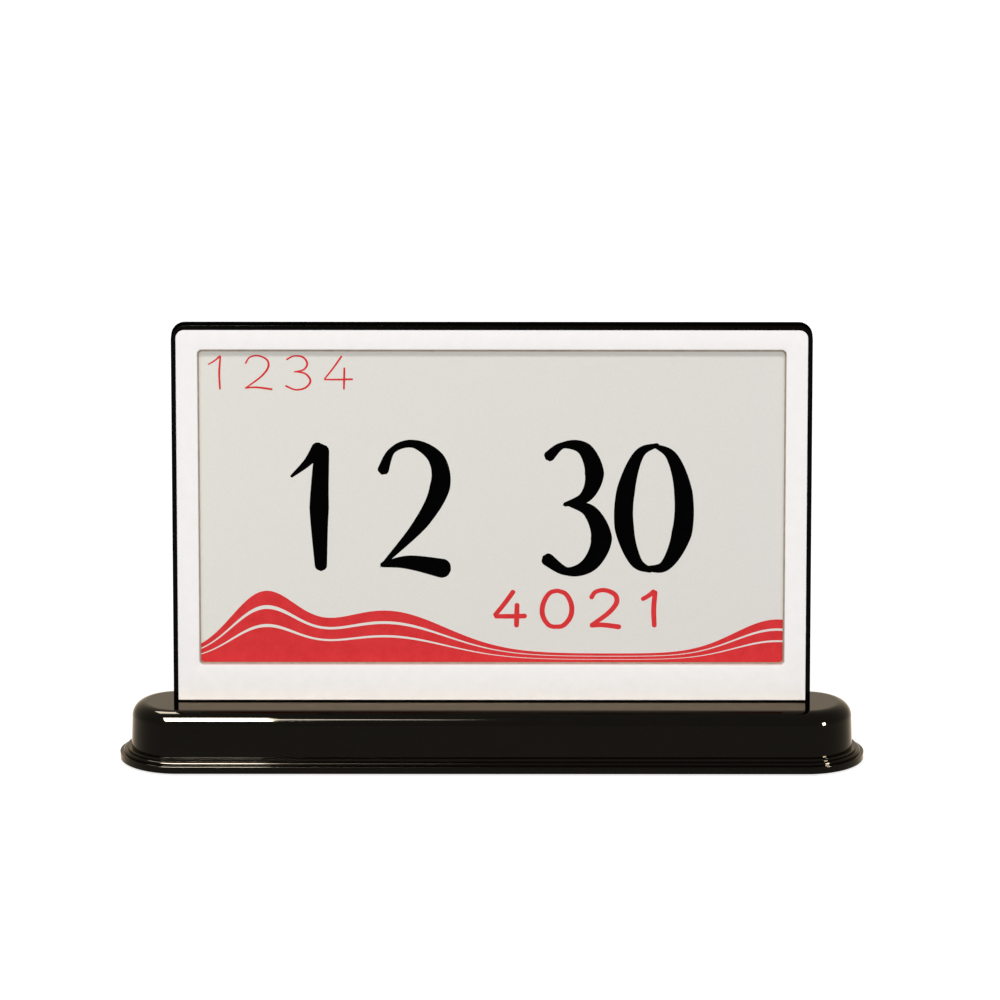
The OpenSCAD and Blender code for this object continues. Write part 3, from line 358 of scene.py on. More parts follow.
inside = [np.array([[0.0, CEILING]]),
          arc(HOLLOW_TOP_R - HOLLOW_SHOULDER, SHOULDER_FOOT, HOLLOW_SHOULDER, 90, 0, 6),
          np.array([[HOLLOW_R, WALL_FOOT], [HOLLOW_R, PLATE_TOP], [PLATE_HOLE_R, PLATE_TOP]])]
outside = [arc(PLATE_HOLE_R + HOLE_ROUND, SHELL_FOOT + HOLE_ROUND, HOLE_ROUND, 180, 270, 3),
           arc(LIP_R - LIP_FOOT_ROUND, SHELL_FOOT + LIP_FOOT_ROUND, LIP_FOOT_ROUND, -90, 0, 5),
           arc(LIP_R - LIP_ROUND, STEPS[0][1] - LIP_ROUND, LIP_ROUND, 0, 90, 8)]
for step_r, step_foot, step_head, step_round in STEPS:
    outside += [arc(step_r + STEP_FILLET, step_foot + STEP_FILLET, STEP_FILLET, -90, -180, 3),
                arc(step_r - step_round, step_head - step_round, step_round, 0, 90, 8)]
cove_z = STEPS[-1][2] + COVE_R
outside += [arc(WALL_R + COVE_R, cove_z, COVE_R, -90, -180, 6),
            arc(FLAT_R, SHOULDER_FOOT, SHOULDER_R, 0, 90, 28),
            np.array([[0.0, BASE_TOP]])]
section = held(np.concatenate(inside + outside))
print("the section has", len(section), "points, out to r", section[:, 0].max())

# %% Carry the section round the stadium
END_STEPS = 48


def swept(profile, t, x, y):
    """The profile carried round: (x + r cos t, y + r sin t, z) for each (r, z) and each angle t,
    where x and y are the centre, which may differ from angle to angle."""
    r, z = profile[:, :1], profile[:, 1:]
    upward = np.broadcast_to(z, (len(z), len(t)))
    return np.stack([x + r * np.cos(t), y + r * np.sin(t), upward], -1)


def round_the_spine(profile):
    """Stadium sweep: the centre is the spine's right end for angles of -90 to 90 degrees, and its
    left end for 90 to 270 degrees."""
    t = np.radians(np.concatenate([np.linspace(-90, 90, END_STEPS + 1),
                                   np.linspace(90, 270, END_STEPS + 1)]))
    return swept(profile, t, np.repeat([SPINE, -SPINE], END_STEPS + 1), 0.0)


base_mesh = shell([round_the_spine(section)], caps=False)
print("base sweep:", len(base_mesh.polygons), "faces")

# %% [markdown]
# The rear wall has four openings, for the socket, the page button, the power slider and the status
# light, and the top has the slot that the panel stands in. Real openings have softened rims. So
# each cutter is a loop that flares as it leaves the wall, and it is taken away from the sweep.

# %% Openings of the base


def control(node):
    """Middle and size of a control's box, in mm."""
    low, high = (np.array(c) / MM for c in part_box(node))
    return (low + high) / 2, high - low


socket_mid, socket_size = control("usb_socket")
button_mid, _ = control("page_button")
slider_mid, _ = control("power_slider")
lamp_mid, _ = control("light_pipe")
BUTTON_W, BUTTON_H = 7.0, 3.4
SLIDER_W, SLIDER_H, SLIDER_TRAVEL = 4.0, 2.2, 2.0
LAMP_D = 1.8
SOCKET_R, BUTTON_R, SLIDER_R, LAMP_R = 1.25, 1.94, 0.55, 0.94
CONTROL_GAP, SEAT_GAP = 0.25, 0.05
CONTROL_Z = socket_mid[2]
WALL_FACE = 12.873  # how far back the leaning wall stands at that height
CUT_IN, CUT_OUT = 4.0, 0.3
RIM_ROUND, RIM_STEPS = 0.2, 4


def opening(x, z, w, h, r):
    """Cutter through the rear wall: a loop w by h with corner radius r, flared by a quarter round
    at the wall's face, so that the rim is soft."""
    rows = [(0.0, WALL_FACE - CUT_IN)]
    rows += [(flare, WALL_FACE - depth) for flare, depth in rounding(RIM_ROUND, RIM_STEPS)]
    rows += [(RIM_ROUND + CUT_OUT, WALL_FACE + CUT_OUT)]
    return np.array([upright(loop(x - w / 2 - d, x + w / 2 + d, z - h / 2 - d, z + h / 2 + d,
                                  r + d, r + d), y) for d, y in rows])


SLOT_HALF, SLOT_FRONT, SLOT_BACK, SLOT_OVER = 86.75, 0.1, 4.7, 1.0
tongue_slot = np.array([[-SLOT_HALF, SLOT_FRONT], [SLOT_HALF, SLOT_FRONT],
                        [SLOT_HALF, SLOT_BACK], [-SLOT_HALF, SLOT_BACK]])
seat, play = 2 * SEAT_GAP, 2 * CONTROL_GAP
cutters = [opening(socket_mid[0], CONTROL_Z, socket_size[0] + seat, socket_size[2] + seat,
                   SOCKET_R),
           opening(button_mid[0], CONTROL_Z, BUTTON_W + play, BUTTON_H + play, BUTTON_R),
           opening(slider_mid[0] + SLIDER_TRAVEL / 2, CONTROL_Z, SLIDER_W + SLIDER_TRAVEL + play,
                   SLIDER_H + play, SLIDER_R),
           opening(lamp_mid[0], CONTROL_Z, LAMP_D + seat, LAMP_D + seat, LAMP_R),
           prism(tongue_slot, CEILING - SLOT_OVER, BASE_TOP + SLOT_OVER)]


def carved(mesh, tools):
    """The mesh with every tool's grid taken away from it."""
    body = bpy.data.objects.new("carved", mesh)
    bpy.context.collection.objects.link(body)
    used = []
    for tool in tools:
        cutter = bpy.data.objects.new("cutter", shell([tool]))
        bpy.context.collection.objects.link(cutter)
        cut = body.modifiers.new("cut", "BOOLEAN")
        cut.operation, cut.solver, cut.object = "DIFFERENCE", "EXACT", cutter
        used.append(cutter)
    graph = bpy.context.evaluated_depsgraph_get()
    result = bpy.data.meshes.new_from_object(body.evaluated_get(graph))
    for extra in used + [body]:
        bpy.data.objects.remove(extra)
    return result


base = piece("base", carved(base_mesh, cutters), stands_for=["base_shell"])

# %% [markdown]
# ## Softened CAD pieces
# The frame, the rear cover, the button, the slider and the socket already have their true form in
# the CAD model, down to their screw wells. What they lack is the small radius that every moulded
# edge has. A copy of the CAD mesh is merged into a closed shell, and a Bevel modifier rounds its
# sharp edges, so the form stays and the edges catch light.

# %% Round the edges of a copy
FLAT_ANGLE, EDGE_ANGLE, EDGE_SEGMENTS = 0.5, 40, 3


def softened(name, node, width, body="root"):
    """A piece with the CAD node's form and edges rounded to the width in mm. Faces that meet at
    less than the flat angle become one, and edges sharper than the edge angle are rounded."""
    work = bmesh.new()
    work.from_mesh(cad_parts[node].data)
    bmesh.ops.remove_doubles(work, verts=work.verts, dist=MERGE_WITHIN)
    bmesh.ops.dissolve_limit(work, angle_limit=math.radians(FLAT_ANGLE), verts=work.verts,
                             edges=work.edges)
    mesh = bpy.data.meshes.new(name)
    work.to_mesh(mesh)
    work.free()
    obj = piece(name, mesh, body, [node])
    bevel = obj.modifiers.new("soft edges", "BEVEL")
    bevel.width, bevel.segments = width * MM, EDGE_SEGMENTS
    bevel.limit_method, bevel.angle_limit = "ANGLE", math.radians(EDGE_ANGLE)
    bevel.use_clamp_overlap = True
    bevel.harden_normals = True
    return obj


frame_piece = softened("frame", "panel_frame", 0.3)
cover = softened("rear_cover", "back_cover", 0.3)
button = softened("page_key", "page_button", 0.2, "button")
slider = softened("power_key", "power_slider", 0.07, "slider")
socket = softened("socket_shell", "usb_socket", 0.06)

# %% [markdown]
# ## What the screen shows
# The screen holds a still picture in black and red ink. Ours is plain: big numerals with thick
# and thin strokes, two rows of small red numerals, and red hills along the foot. A stroke is a
# ribbon along a smooth centre line, as a broad brush would draw it, and only a few hundredths of a
# millimetre thick.

# %% Strokes of ink
INK_T, LAYER_T = 0.02, 0.01
STROKE_POINTS, LEAST_END = 72, 0.02
JUST_UNDER = 1e-9
FILM_FRONT = film_low[1]


def smooth_line(points, samples):
    """Smooth cubic curve through the points. A span from b to c with neighbours a and d is
    0.5 (2b + (c-a) t + (2a-5b+4c-d) t^2 + (3b-a-3c+d) t^3)."""
    p = np.asarray(points, float)
    p = np.concatenate([2 * p[:1] - p[1:2], p, 2 * p[-1:] - p[-2:-1]])
    u = np.linspace(0, len(p) - 3 - JUST_UNDER, samples)
    k = u.astype(int)
    t = (u - k)[:, None]
    a, b, c, d = p[k], p[k + 1], p[k + 2], p[k + 3]
    return 0.5 * (2 * b + (c - a) * t + (2 * a - 5 * b + 4 * c - d) * t ** 2
                  + (3 * b - a - 3 * c + d) * t ** 3)


def ribbon(points, widths, layer=0):
    """Ink ribbon: centre line c(s), half width w(s) and round ends, where w is multiplied by
    sqrt(1 - (1 - s/w)^2) within w of an end. Its section is a thin rectangle. A stroke that crosses
    another takes a layer of its own, a hair further forward."""
    line = smooth_line(points, STROKE_POINTS)
    steps = np.linalg.norm(np.diff(line, axis=0), axis=1)
    s = np.concatenate([[0], np.cumsum(steps)])
    tangent = np.gradient(line, axis=0)
    tangent /= np.linalg.norm(tangent, axis=1)[:, None]
    normal = np.stack([-tangent[:, 1], tangent[:, 0]], -1)
    along = np.linspace(0, 1, STROKE_POINTS)
    half = np.interp(along, np.linspace(0, 1, len(widths)), widths) / 2
    near = np.minimum(s, s[-1] - s) / half
    half = half * np.sqrt(np.clip(1 - np.clip(1 - near, 0, 1) ** 2, LEAST_END ** 2, 1))
    left, right = line + normal * half[:, None], line - normal * half[:, None]
    front, back = FILM_FRONT - INK_T - layer * LAYER_T, FILM_FRONT
    return np.stack([upright(left, front), upright(right, front),
                     upright(right, back), upright(left, back)], 1)


# %% [markdown]
# A numeral could be a text object, but then its strokes are fixed by a font. Here each stroke is
# its centre line in a box of 1 by 1, with its widths as shares of the pen's, so the same five
# numerals serve for a broad pen and for a thin one.

# %% Numerals
NUMERALS = {
    "0": [([(0.56, 1.0), (0.28, 0.92), (0.1, 0.64), (0.08, 0.34), (0.24, 0.08), (0.48, 0.0)],
           [0.35, 0.7, 1.1, 1.15, 0.8, 0.4]),
          ([(0.36, 0.02), (0.66, 0.05), (0.88, 0.3), (0.9, 0.62), (0.74, 0.9), (0.46, 1.0)],
           [0.4, 0.75, 1.2, 1.1, 0.75, 0.3])],
    "1": [([(0.2, 0.74), (0.42, 0.86), (0.6, 1.0)], [0.3, 0.6, 1.0]),
          ([(0.6, 1.0), (0.56, 0.5), (0.58, 0.0)], [0.9, 1.15, 0.75])],
    "2": [([(0.1, 0.76), (0.24, 0.95), (0.52, 1.0), (0.8, 0.88), (0.84, 0.66), (0.6, 0.38),
            (0.08, 0.03)],
           [0.8, 0.5, 0.6, 1.0, 1.2, 0.9, 0.3]),
          ([(0.08, 0.05), (0.45, 0.07), (0.98, 0.01)], [0.4, 0.9, 1.25])],
    "3": [([(0.12, 0.88), (0.36, 0.99), (0.66, 0.96), (0.8, 0.77), (0.68, 0.59), (0.36, 0.52)],
           [0.8, 0.5, 0.9, 1.15, 0.8, 0.35]),
          ([(0.4, 0.54), (0.74, 0.47), (0.9, 0.26), (0.74, 0.06), (0.42, 0.0), (0.08, 0.12)],
           [0.35, 0.9, 1.25, 1.0, 0.6, 0.9])],
    "4": [([(0.62, 1.0), (0.34, 0.64), (0.04, 0.3)], [1.0, 0.8, 0.5]),
          ([(0.04, 0.3), (0.5, 0.3), (0.98, 0.31)], [0.5, 0.8, 1.1]),
          ([(0.7, 0.66), (0.69, 0.3), (0.68, 0.0)], [0.9, 1.15, 0.8])],
}


def written(text, left, foot, width, height, pitch, pen, contrast):
    """Ribbons of a row of numerals. Each is width by height and stands pitch from the last. The
    pen's width w becomes w (1 + contrast (share - 1)), so contrast 0 is an even line."""
    ribbons = []
    for place, sign in enumerate(text):
        for layer, (line, shares) in enumerate(NUMERALS[sign]):
            at = np.array(line) * [width, height] + [left + place * pitch, foot]
            ribbons.append(ribbon(at, pen * (1 + contrast * (np.array(shares) - 1)), layer))
    return ribbons


broad_pen = {"foot": 54.6, "height": 37.0, "pen": 4.6, "contrast": 1.2}
black_rows = written("12", left=-60.5, width=22.0, pitch=27.5, **broad_pen)
black_rows += written("30", left=12.6, width=20.0, pitch=22.8, **broad_pen)
thin_rows = written("1234", left=-80.6, foot=107.3, width=8.6, height=9.8, pitch=11.2,
                    pen=0.55, contrast=0.4)
medium_rows = written("4021", left=0.2, foot=38.2, width=9.8, height=10.9, pitch=13.2,
                      pen=1.4, contrast=0.2)
numerals = piece("screen_numerals", shell(black_rows))
red_numerals = piece("screen_red_numerals", shell(thin_rows + medium_rows))

# %% [markdown]
# The hills are bands between two curves. One height function is a sum of bell curves, and each
# band lies between two shares of it, so thin lines of bare screen stay between the bands like
# contours on a map.

# %% Hills
HILLS = [(-64.0, 16.5, 13.0), (-30.0, 12.5, 24.0), (80.0, 10.0, 17.0)]
BANDS = [(0.0, 0.52), (0.56, 0.76), (0.81, 1.0)]
HILL_FOOT, HILL_LEAST = 26.8, 3.8
HILL_OVER, HILL_POINTS = 0.8, 260


def hill_height(x):
    """h(x) = least + sum of a exp(-((x - m) / w)^2) over the hills (m, a, w)."""
    return HILL_LEAST + sum(a * np.exp(-((x - m) / w) ** 2) for m, a, w in HILLS)


def band(low, high):
    """Ink between the shares low and high of the hills' height, as a grid with a thin section. It
    runs on a little way behind the gasket."""
    x = np.linspace(-WINDOW_HALF - HILL_OVER, WINDOW_HALF + HILL_OVER, HILL_POINTS)
    h = hill_height(x)
    foot, head = HILL_FOOT + low * h, HILL_FOOT + high * h
    ink_front = FILM_FRONT - INK_T
    corners = [(foot, ink_front), (head, ink_front), (head, FILM_FRONT), (foot, FILM_FRONT)]
    return np.stack([np.stack([x, np.full_like(x, y), z], -1) for z, y in corners], 1)


hills = piece("screen_hills", shell([band(*shares) for shares in BANDS]))

# %% [markdown]
# ## Feet
# Four soft feet sit in pockets of the base plate. Each is turned: a profile of radius and height
# carried round its own axis, with a rounded rim and a slightly hollow underside.

# %% Turn the feet
_, feet_high = (np.array(c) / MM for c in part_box("rubber_feet"))
FOOT_R, FOOT_ROUND, FOOT_STEPS = 4.0, 0.35, 40
DISH_DEEPEST, DISH_R, DISH_DEPTH, DISH_OUT = 0.12, 2.4, 0.1, 3.0
foot_profile = np.concatenate([[[0.0, DISH_DEEPEST], [DISH_R, DISH_DEPTH]],
                               arc(DISH_OUT, DISH_DEPTH, DISH_DEPTH, 180, 270, 4),
                               arc(FOOT_R - FOOT_ROUND, FOOT_ROUND, FOOT_ROUND, -90, 0, 6),
                               [[FOOT_R, feet_high[2]], [0.0, feet_high[2]]]])
foot_turn = np.radians(np.linspace(0, 360, FOOT_STEPS, endpoint=False))
foot_x, foot_y = feet_high[0] - FOOT_R, feet_high[1] - FOOT_R
feet_grids = [swept(foot_profile, foot_turn, side * foot_x, end * foot_y)
              for side in (-1, 1) for end in (-1, 1)]
feet = piece("feet", shell(feet_grids, caps=False), stands_for=["rubber_feet"])

# %% [markdown]
# ## Finishes
# Each finish starts from the real material. A pattern is always laid out in millimetres on the
# object: Object coordinates are metres here, so a grain of g mm needs a texture scale of 1000 / g.
# One small function adds a node, and one recipe covers the finishes that differ only in numbers.

# %% Helpers for finishes
CLOUD = 9.0  # the gloss varies this many times more widely than the grain


def linear(code):
    """sRGB hex to linear RGBA: c / 12.92 under 0.04045, else ((c + 0.055) / 1.055)^2.4."""
    c = np.array([int(code[i:i + 2], 16) for i in (1, 3, 5)]) / 255
    c = np.where(c <= 0.04045, c / 12.92, ((c + 0.055) / 1.055) ** 2.4)
    return (*c.tolist(), 1.0)


def add(tree, kind, **given):
    """Add a node. Each given value goes to the input of that name, or to the node's own setting;
    an output socket as the value makes a link. Spaces in names are written as underscores."""
    node = tree.nodes.new(kind)
    for name, value in given.items():
        found = [s for s in node.inputs if name in (s.identifier, s.name.replace(" ", "_"))]
        exact = [s for s in found if s.identifier == name] or found
        if not exact:
            setattr(node, name, value)
        elif isinstance(value, bpy.types.NodeSocket):
            tree.links.new(value, exact[0])
        else:
            exact[0].default_value = value
    return node


def new_finish(name):
    """An empty material with its shader, and the object's own coordinates."""
    material = bpy.data.materials.new(name)
    material.use_nodes = True
    tree = material.node_tree
    shader = tree.nodes["Principled BSDF"]
    place = add(tree, "ShaderNodeTexCoord").outputs["Object"]
    print("finish:", name)
    return material, tree, shader, place


def finish(name, light, dark, grain, rough, relief=0.0, stretch=(1, 1, 1), **shader_values):
    """Recipe for a plain finish. Colour lies between dark and light, with a noise of the grain size
    in mm. Roughness runs between its two values with a coarser noise. Relief is the height of the
    grain in mm, and stretch draws the grain out for brushed or drawn metal."""
    material, tree, shader, place = new_finish(name)
    laid = add(tree, "ShaderNodeMapping", Vector=place,
               Scale=tuple(1 / s for s in stretch)).outputs[0]
    fine = add(tree, "ShaderNodeTexNoise", Vector=laid, Scale=1000 / grain,
               Detail=4.0, Roughness=0.6)
    wide = add(tree, "ShaderNodeTexNoise", Vector=laid, Scale=1000 / (grain * CLOUD), Detail=3.0)
    both = add(tree, "ShaderNodeMath", operation="ADD", Value=fine.outputs[0],
               Value_001=wide.outputs[0])
    share = add(tree, "ShaderNodeMapRange", Value=both.outputs[0], From_Min=0.7, From_Max=1.3)
    colour = add(tree, "ShaderNodeMix", data_type="RGBA", Factor_Float=share.outputs[0],
                 A_Color=linear(dark), B_Color=linear(light))
    gloss = add(tree, "ShaderNodeMapRange", Value=wide.outputs[0], From_Min=0.3, From_Max=0.7,
                To_Min=rough[0], To_Max=rough[1])
    tree.links.new(colour.outputs[2], shader.inputs["Base Color"])
    tree.links.new(gloss.outputs[0], shader.inputs["Roughness"])
    if relief:
        bump = add(tree, "ShaderNodeBump", Height=fine.outputs[0], Distance=relief * MM,
                   Strength=1.0)
        tree.links.new(bump.outputs[0], shader.inputs["Normal"])
    for key, value in shader_values.items():
        shader.inputs[key.replace("_", " ")].default_value = value
    return material


def dress(target, material):
    """Give a piece, or a CAD node by name, one material."""
    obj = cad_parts[target] if isinstance(target, str) else target
    obj.data.materials.clear()
    obj.data.materials.append(material)
    for holder in obj.material_slots:
        holder.material = material


# %% [markdown]
# The finishes of the case come first. White ABS from a fine-eroded mould is satin, with a grain of
# a third of a millimetre. The base is lacquered black ABS, nearly mirror smooth, so what counts is
# a faint unevenness of the gloss, a slow wave of the surface. The frame is smoke-black acrylic. The
# rear cover has a fine texture, the button, slider and plate a coarser grain, and the gasket is
# closed-cell foam.

# %% Plastics of the case
WAVE, WAVE_DEPTH = 16.0, 0.06
satin_white = finish("satin_white_moulded_abs", "#F4F1F0", "#EFECEA", 0.35, (0.36, 0.46), 0.004,
                     IOR=1.53)
polished_black = finish("polished_black_lacquered_abs", "#040303", "#020202", 1.2, (0.035, 0.08),
                        0.0, IOR=1.5, Specular_IOR_Level=0.055, Coat_Weight=1.0,
                        Coat_Roughness=0.03, Coat_IOR=1.1, Coat_Tint=linear("#FFEDC9"))
tree = polished_black.node_tree
place = add(tree, "ShaderNodeTexCoord").outputs["Object"]
wave = add(tree, "ShaderNodeTexNoise", Vector=place, Scale=1000 / WAVE, Detail=1.0)
bump = add(tree, "ShaderNodeBump", Height=wave.outputs[0], Distance=WAVE_DEPTH * MM, Strength=1.0)
for end in ("Normal", "Coat Normal"):
    tree.links.new(bump.outputs[0], tree.nodes["Principled BSDF"].inputs[end])
smoked_black = finish("smoke_black_moulded_acrylic", "#060505", "#040404", 1.2, (0.06, 0.11), 0.0,
                      IOR=1.49, Specular_IOR_Level=0.12, Coat_Weight=1.0, Coat_Roughness=0.03,
                      Coat_IOR=1.0, Coat_Tint=linear("#918D88"))
grained_black = finish("grained_black_moulded_abs", "#1D1C1B", "#141312", 0.3, (0.5, 0.62), 0.012,
                       IOR=1.5)
textured_black = finish("fine_textured_black_abs", "#161514", "#0F0E0D", 0.35, (0.3, 0.4), 0.006,
                        IOR=1.5, Specular_IOR_Level=0.35)
gasket_foam = finish("closed_cell_gasket_foam", "#B3A591", "#95897A", 0.25, (0.85, 0.95), 0.03,
                     IOR=1.4)
dress(bezel, satin_white)
dress(base, polished_black)
dress(frame_piece, smoked_black)
dress(cover, textured_black)
for part in (button, slider, "base_plate"):
    dress(part, grained_black)
dress(gasket, gasket_foam)

# %% [markdown]
# The e-paper film is a warm light grey, a little warmer towards the right. Its grain is the layer
# of capsules; they are 0.05 mm across, too fine to show, so the grain is drawn at 0.3 mm.

# %% Screen film and inks
CAPSULE, CAPSULE_DEPTH, FILM_CLOUD = 0.3, 0.004, 24.0
film_paper, tree, shader, place = new_finish("matt_epaper_film")
across = add(tree, "ShaderNodeSeparateXYZ", Vector=place)
side = add(tree, "ShaderNodeMapRange", Value=across.outputs["X"], From_Min=-WINDOW_HALF * MM,
           From_Max=WINDOW_HALF * MM)
capsules = add(tree, "ShaderNodeTexNoise", Vector=place, Scale=1000 / CAPSULE,
               Detail=3.0, Roughness=0.7)
clouds = add(tree, "ShaderNodeTexNoise", Vector=place, Scale=1000 / FILM_CLOUD, Detail=2.0)
ground = add(tree, "ShaderNodeMix", data_type="RGBA", Factor_Float=side.outputs[0],
             A_Color=linear("#E0DED6"), B_Color=linear("#DDD9D4"))
grain = add(tree, "ShaderNodeMapRange", Value=capsules.outputs[0], From_Min=0.3, From_Max=0.7,
            To_Min=0.955, To_Max=1.03)
tone = add(tree, "ShaderNodeVectorMath", operation="SCALE", Vector=ground.outputs[2],
           Scale=grain.outputs[0])
gloss = add(tree, "ShaderNodeMapRange", Value=clouds.outputs[0], From_Min=0.3, From_Max=0.7,
            To_Min=0.58, To_Max=0.7)
bump = add(tree, "ShaderNodeBump", Height=capsules.outputs[0], Distance=CAPSULE_DEPTH * MM,
           Strength=1.0)
tree.links.new(tone.outputs[0], shader.inputs["Base Color"])
tree.links.new(gloss.outputs[0], shader.inputs["Roughness"])
tree.links.new(bump.outputs[0], shader.inputs["Normal"])
shader.inputs["Specular IOR Level"].default_value = 0.15
dress("epaper_front_film", film_paper)
black_ink = finish("black_pigment_under_film", "#050505", "#030303", 0.3, (0.5, 0.62), 0.0,
                   Specular_IOR_Level=0.0)
red_ink = finish("red_pigment_under_film", "#DB3C3E", "#CE3235", 0.3, (0.5, 0.62), 0.0,
                 Specular_IOR_Level=0.0)
dress(numerals, black_ink)
for part in (red_numerals, hills):
    dress(part, red_ink)

# %% [markdown]
# The small parts inside and behind are never seen together with the front, but each is still
# dressed for what it is: rubber, tin-plated sheet, drawn steel, solder mask, chip resin, nylon.

# %% Small parts
foot_rubber = finish("moulded_silicone_rubber", "#2E2E30", "#202022", 0.4, (0.7, 0.85), 0.01)
tinned_sheet = finish("tin_plated_rolled_sheet", "#CFCFCE", "#A9A9A8", 0.25, (0.25, 0.38), 0.002,
                      stretch=(6, 1, 1), Metallic=1.0)
drawn_steel = finish("cold_drawn_steel_bar", "#9C9DA0", "#76777A", 0.3, (0.3, 0.45), 0.004,
                     stretch=(30, 1, 1), Metallic=1.0)
plated_screw = finish("nickel_plated_screw_steel", "#A8A8AA", "#85858A", 0.2, (0.22, 0.34), 0.002,
                      Metallic=1.0)
solder_mask = finish("green_solder_mask_on_glass_epoxy", "#24693F", "#174F2D", 0.8, (0.28, 0.4),
                     0.01)
chip_resin = finish("dark_moulding_resin", "#2B2D30", "#1E1F22", 0.15, (0.5, 0.62), 0.006)
nylon = finish("ivory_nylon_moulding", "#EFE8D6", "#DDD4BE", 0.3, (0.42, 0.52), 0.003)
amber_film = finish("amber_polyimide_film", "#C2802F", "#9A6020", 0.5, (0.2, 0.3), 0.0,
                    stretch=(1, 1, 12))
pouch_foil = finish("embossed_pouch_foil", "#C6C9CD", "#A3A7AC", 1.1, (0.28, 0.4), 0.02,
                    Metallic=1.0)
red_sleeve = finish("red_silicone_lead_sleeve", "#BC2A20", "#9E1C16", 0.3, (0.5, 0.6), 0.0)
brown_tape = finish("double_sided_tissue_tape", "#DCCB92", "#C4AF70", 0.4, (0.6, 0.75), 0.008,
                    stretch=(5, 1, 1))
dark_glass = finish("thin_film_array_glass", "#96A49E", "#7F8E88", 0.5, (0.05, 0.1), 0.0)
led_resin = finish("yellowish_lamp_resin", "#EFE9B8", "#DDD59A", 0.3, (0.25, 0.35), 0.0)
clear_rod = finish("clear_moulded_acrylic", "#DDE8EA", "#CFDCDF", 0.8, (0.04, 0.1), 0.0, IOR=1.49,
                   Transmission_Weight=0.85)
dress(feet, foot_rubber)
dress(socket, tinned_sheet)

# %% [markdown]
# The tongue in the socket carries twelve gold-plated contacts on each face, half a millimetre
# apart. They are let flush into the resin, so they are a change of colour and metal and not of
# shape: the distance to the nearest middle between two contacts says which of the two a point is.

# %% Contacts of the socket
CONTACT_PITCH, CONTACT_W = 0.5, 0.28
contacts, tree, shader, place = new_finish("gold_plated_contacts_in_resin")
across = add(tree, "ShaderNodeSeparateXYZ", Vector=place)
from_middle = add(tree, "ShaderNodeMath", operation="PINGPONG", Value=across.outputs["X"],
                  Value_001=CONTACT_PITCH / 2 * MM)
gold = add(tree, "ShaderNodeMath", operation="GREATER_THAN", Value=from_middle.outputs[0],
           Value_001=(CONTACT_PITCH - CONTACT_W) / 2 * MM)
colour = add(tree, "ShaderNodeMix", data_type="RGBA", Factor_Float=gold.outputs[0],
             A_Color=linear("#232528"), B_Color=linear("#E3BC63"))
sheen = add(tree, "ShaderNodeMapRange", Value=gold.outputs[0], To_Min=0.55, To_Max=0.25)
tree.links.new(colour.outputs[2], shader.inputs["Base Color"])
tree.links.new(gold.outputs[0], shader.inputs["Metallic"])
tree.links.new(sheen.outputs[0], shader.inputs["Roughness"])
dress("usb_contact_blade", contacts)

# %% [markdown]
# The pieces that keep their CAD mesh need only a finish. One table says which finish goes on which
# of them, and the last line names any piece that was forgotten.

# %% Finishes of the CAD pieces
SMALL_PARTS = {
    tinned_sheet: ["radio_module"],
    drawn_steel: ["front_ballast_bar", "rear_ballast_bar"],
    plated_screw: ["back_cover_screws", "main_board_screws", "base_plate_screws", "ballast_screws",
                   "panel_screws", "io_board_screws"],
    solder_mask: ["main_board", "io_board", "battery_guard_board"],
    chip_resin: ["display_driver_ic", "controller_chip", "boost_parts", "slide_switch_body",
                 "tact_switch_body"],
    nylon: ["flex_connector", "cable_header", "battery_header", "link_header", "switch_stub",
            "tact_plunger"],
    amber_film: ["display_flex", "link_cable"],
    pouch_foil: ["battery_cell"],
    red_sleeve: ["battery_leads"],
    brown_tape: ["display_tape", "battery_tape"],
    dark_glass: ["epaper_backplane"],
    led_resin: ["status_led"],
    clear_rod: ["light_pipe"],
}
for material, names in SMALL_PARTS.items():
    for name in names:
        dress(name, material)
bare = [n for n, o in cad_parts.items() if not o.hide_render and not o.data.materials]
print("dressed", sum(len(v) for v in SMALL_PARTS.values()), "small parts; without a finish:", bare)

# %% [markdown]
# ## Floor and light
# The floor is a wide pale sheet, so the object stands on something and keeps a soft shadow. A white
# studio floor is lit until it is white in the picture. Here that would burn out the bezel, so the
# floor adds a glow of its own instead, for the rays that come from the camera or off a gloss. The
# shadow still shows, because the part of the floor's colour that the lamps light goes dark in it.

# %% Rays that look at the surroundings


def looked_at(tree):
    """1 for a ray from the camera, off a gloss or through glass, and 0 for one that only lights."""
    path = add(tree, "ShaderNodeLightPath").outputs
    seen = add(tree, "ShaderNodeMath", operation="MAXIMUM", Value=path["Is Camera Ray"],
               Value_001=path["Is Glossy Ray"])
    return add(tree, "ShaderNodeMath", operation="MAXIMUM", Value=seen.outputs[0],
               Value_001=path["Is Transmission Ray"]).outputs[0]


# %% Floor
FLOOR_SIZE = 12.0
FLOOR_GLOW = 0.8
half_floor = FLOOR_SIZE / 2
floor_mesh = bpy.data.meshes.new("floor")
floor_mesh.from_pydata([(-half_floor, -half_floor, 0), (half_floor, -half_floor, 0),
                        (half_floor, half_floor, 0), (-half_floor, half_floor, 0)],
                       [], [(0, 1, 2, 3)])
floor = bpy.data.objects.new("floor", floor_mesh)
bpy.context.collection.objects.link(floor)
floor_paper = finish("pale_paper_floor", "#BDBDBD", "#BBBBBB", 3.0, (0.85, 0.9), 0.0,
                     Specular_IOR_Level=0.0)
tree = floor_paper.node_tree
glow = add(tree, "ShaderNodeMath", operation="MULTIPLY", Value=looked_at(tree),
           Value_001=FLOOR_GLOW)
tree.nodes["Principled BSDF"].inputs["Emission Color"].default_value = (1, 1, 1, 1)
tree.links.new(glow.outputs[0], tree.nodes["Principled BSDF"].inputs["Emission Strength"])
dress(floor, floor_paper)
print("floor", FLOOR_SIZE, "m wide, glow", FLOOR_GLOW)

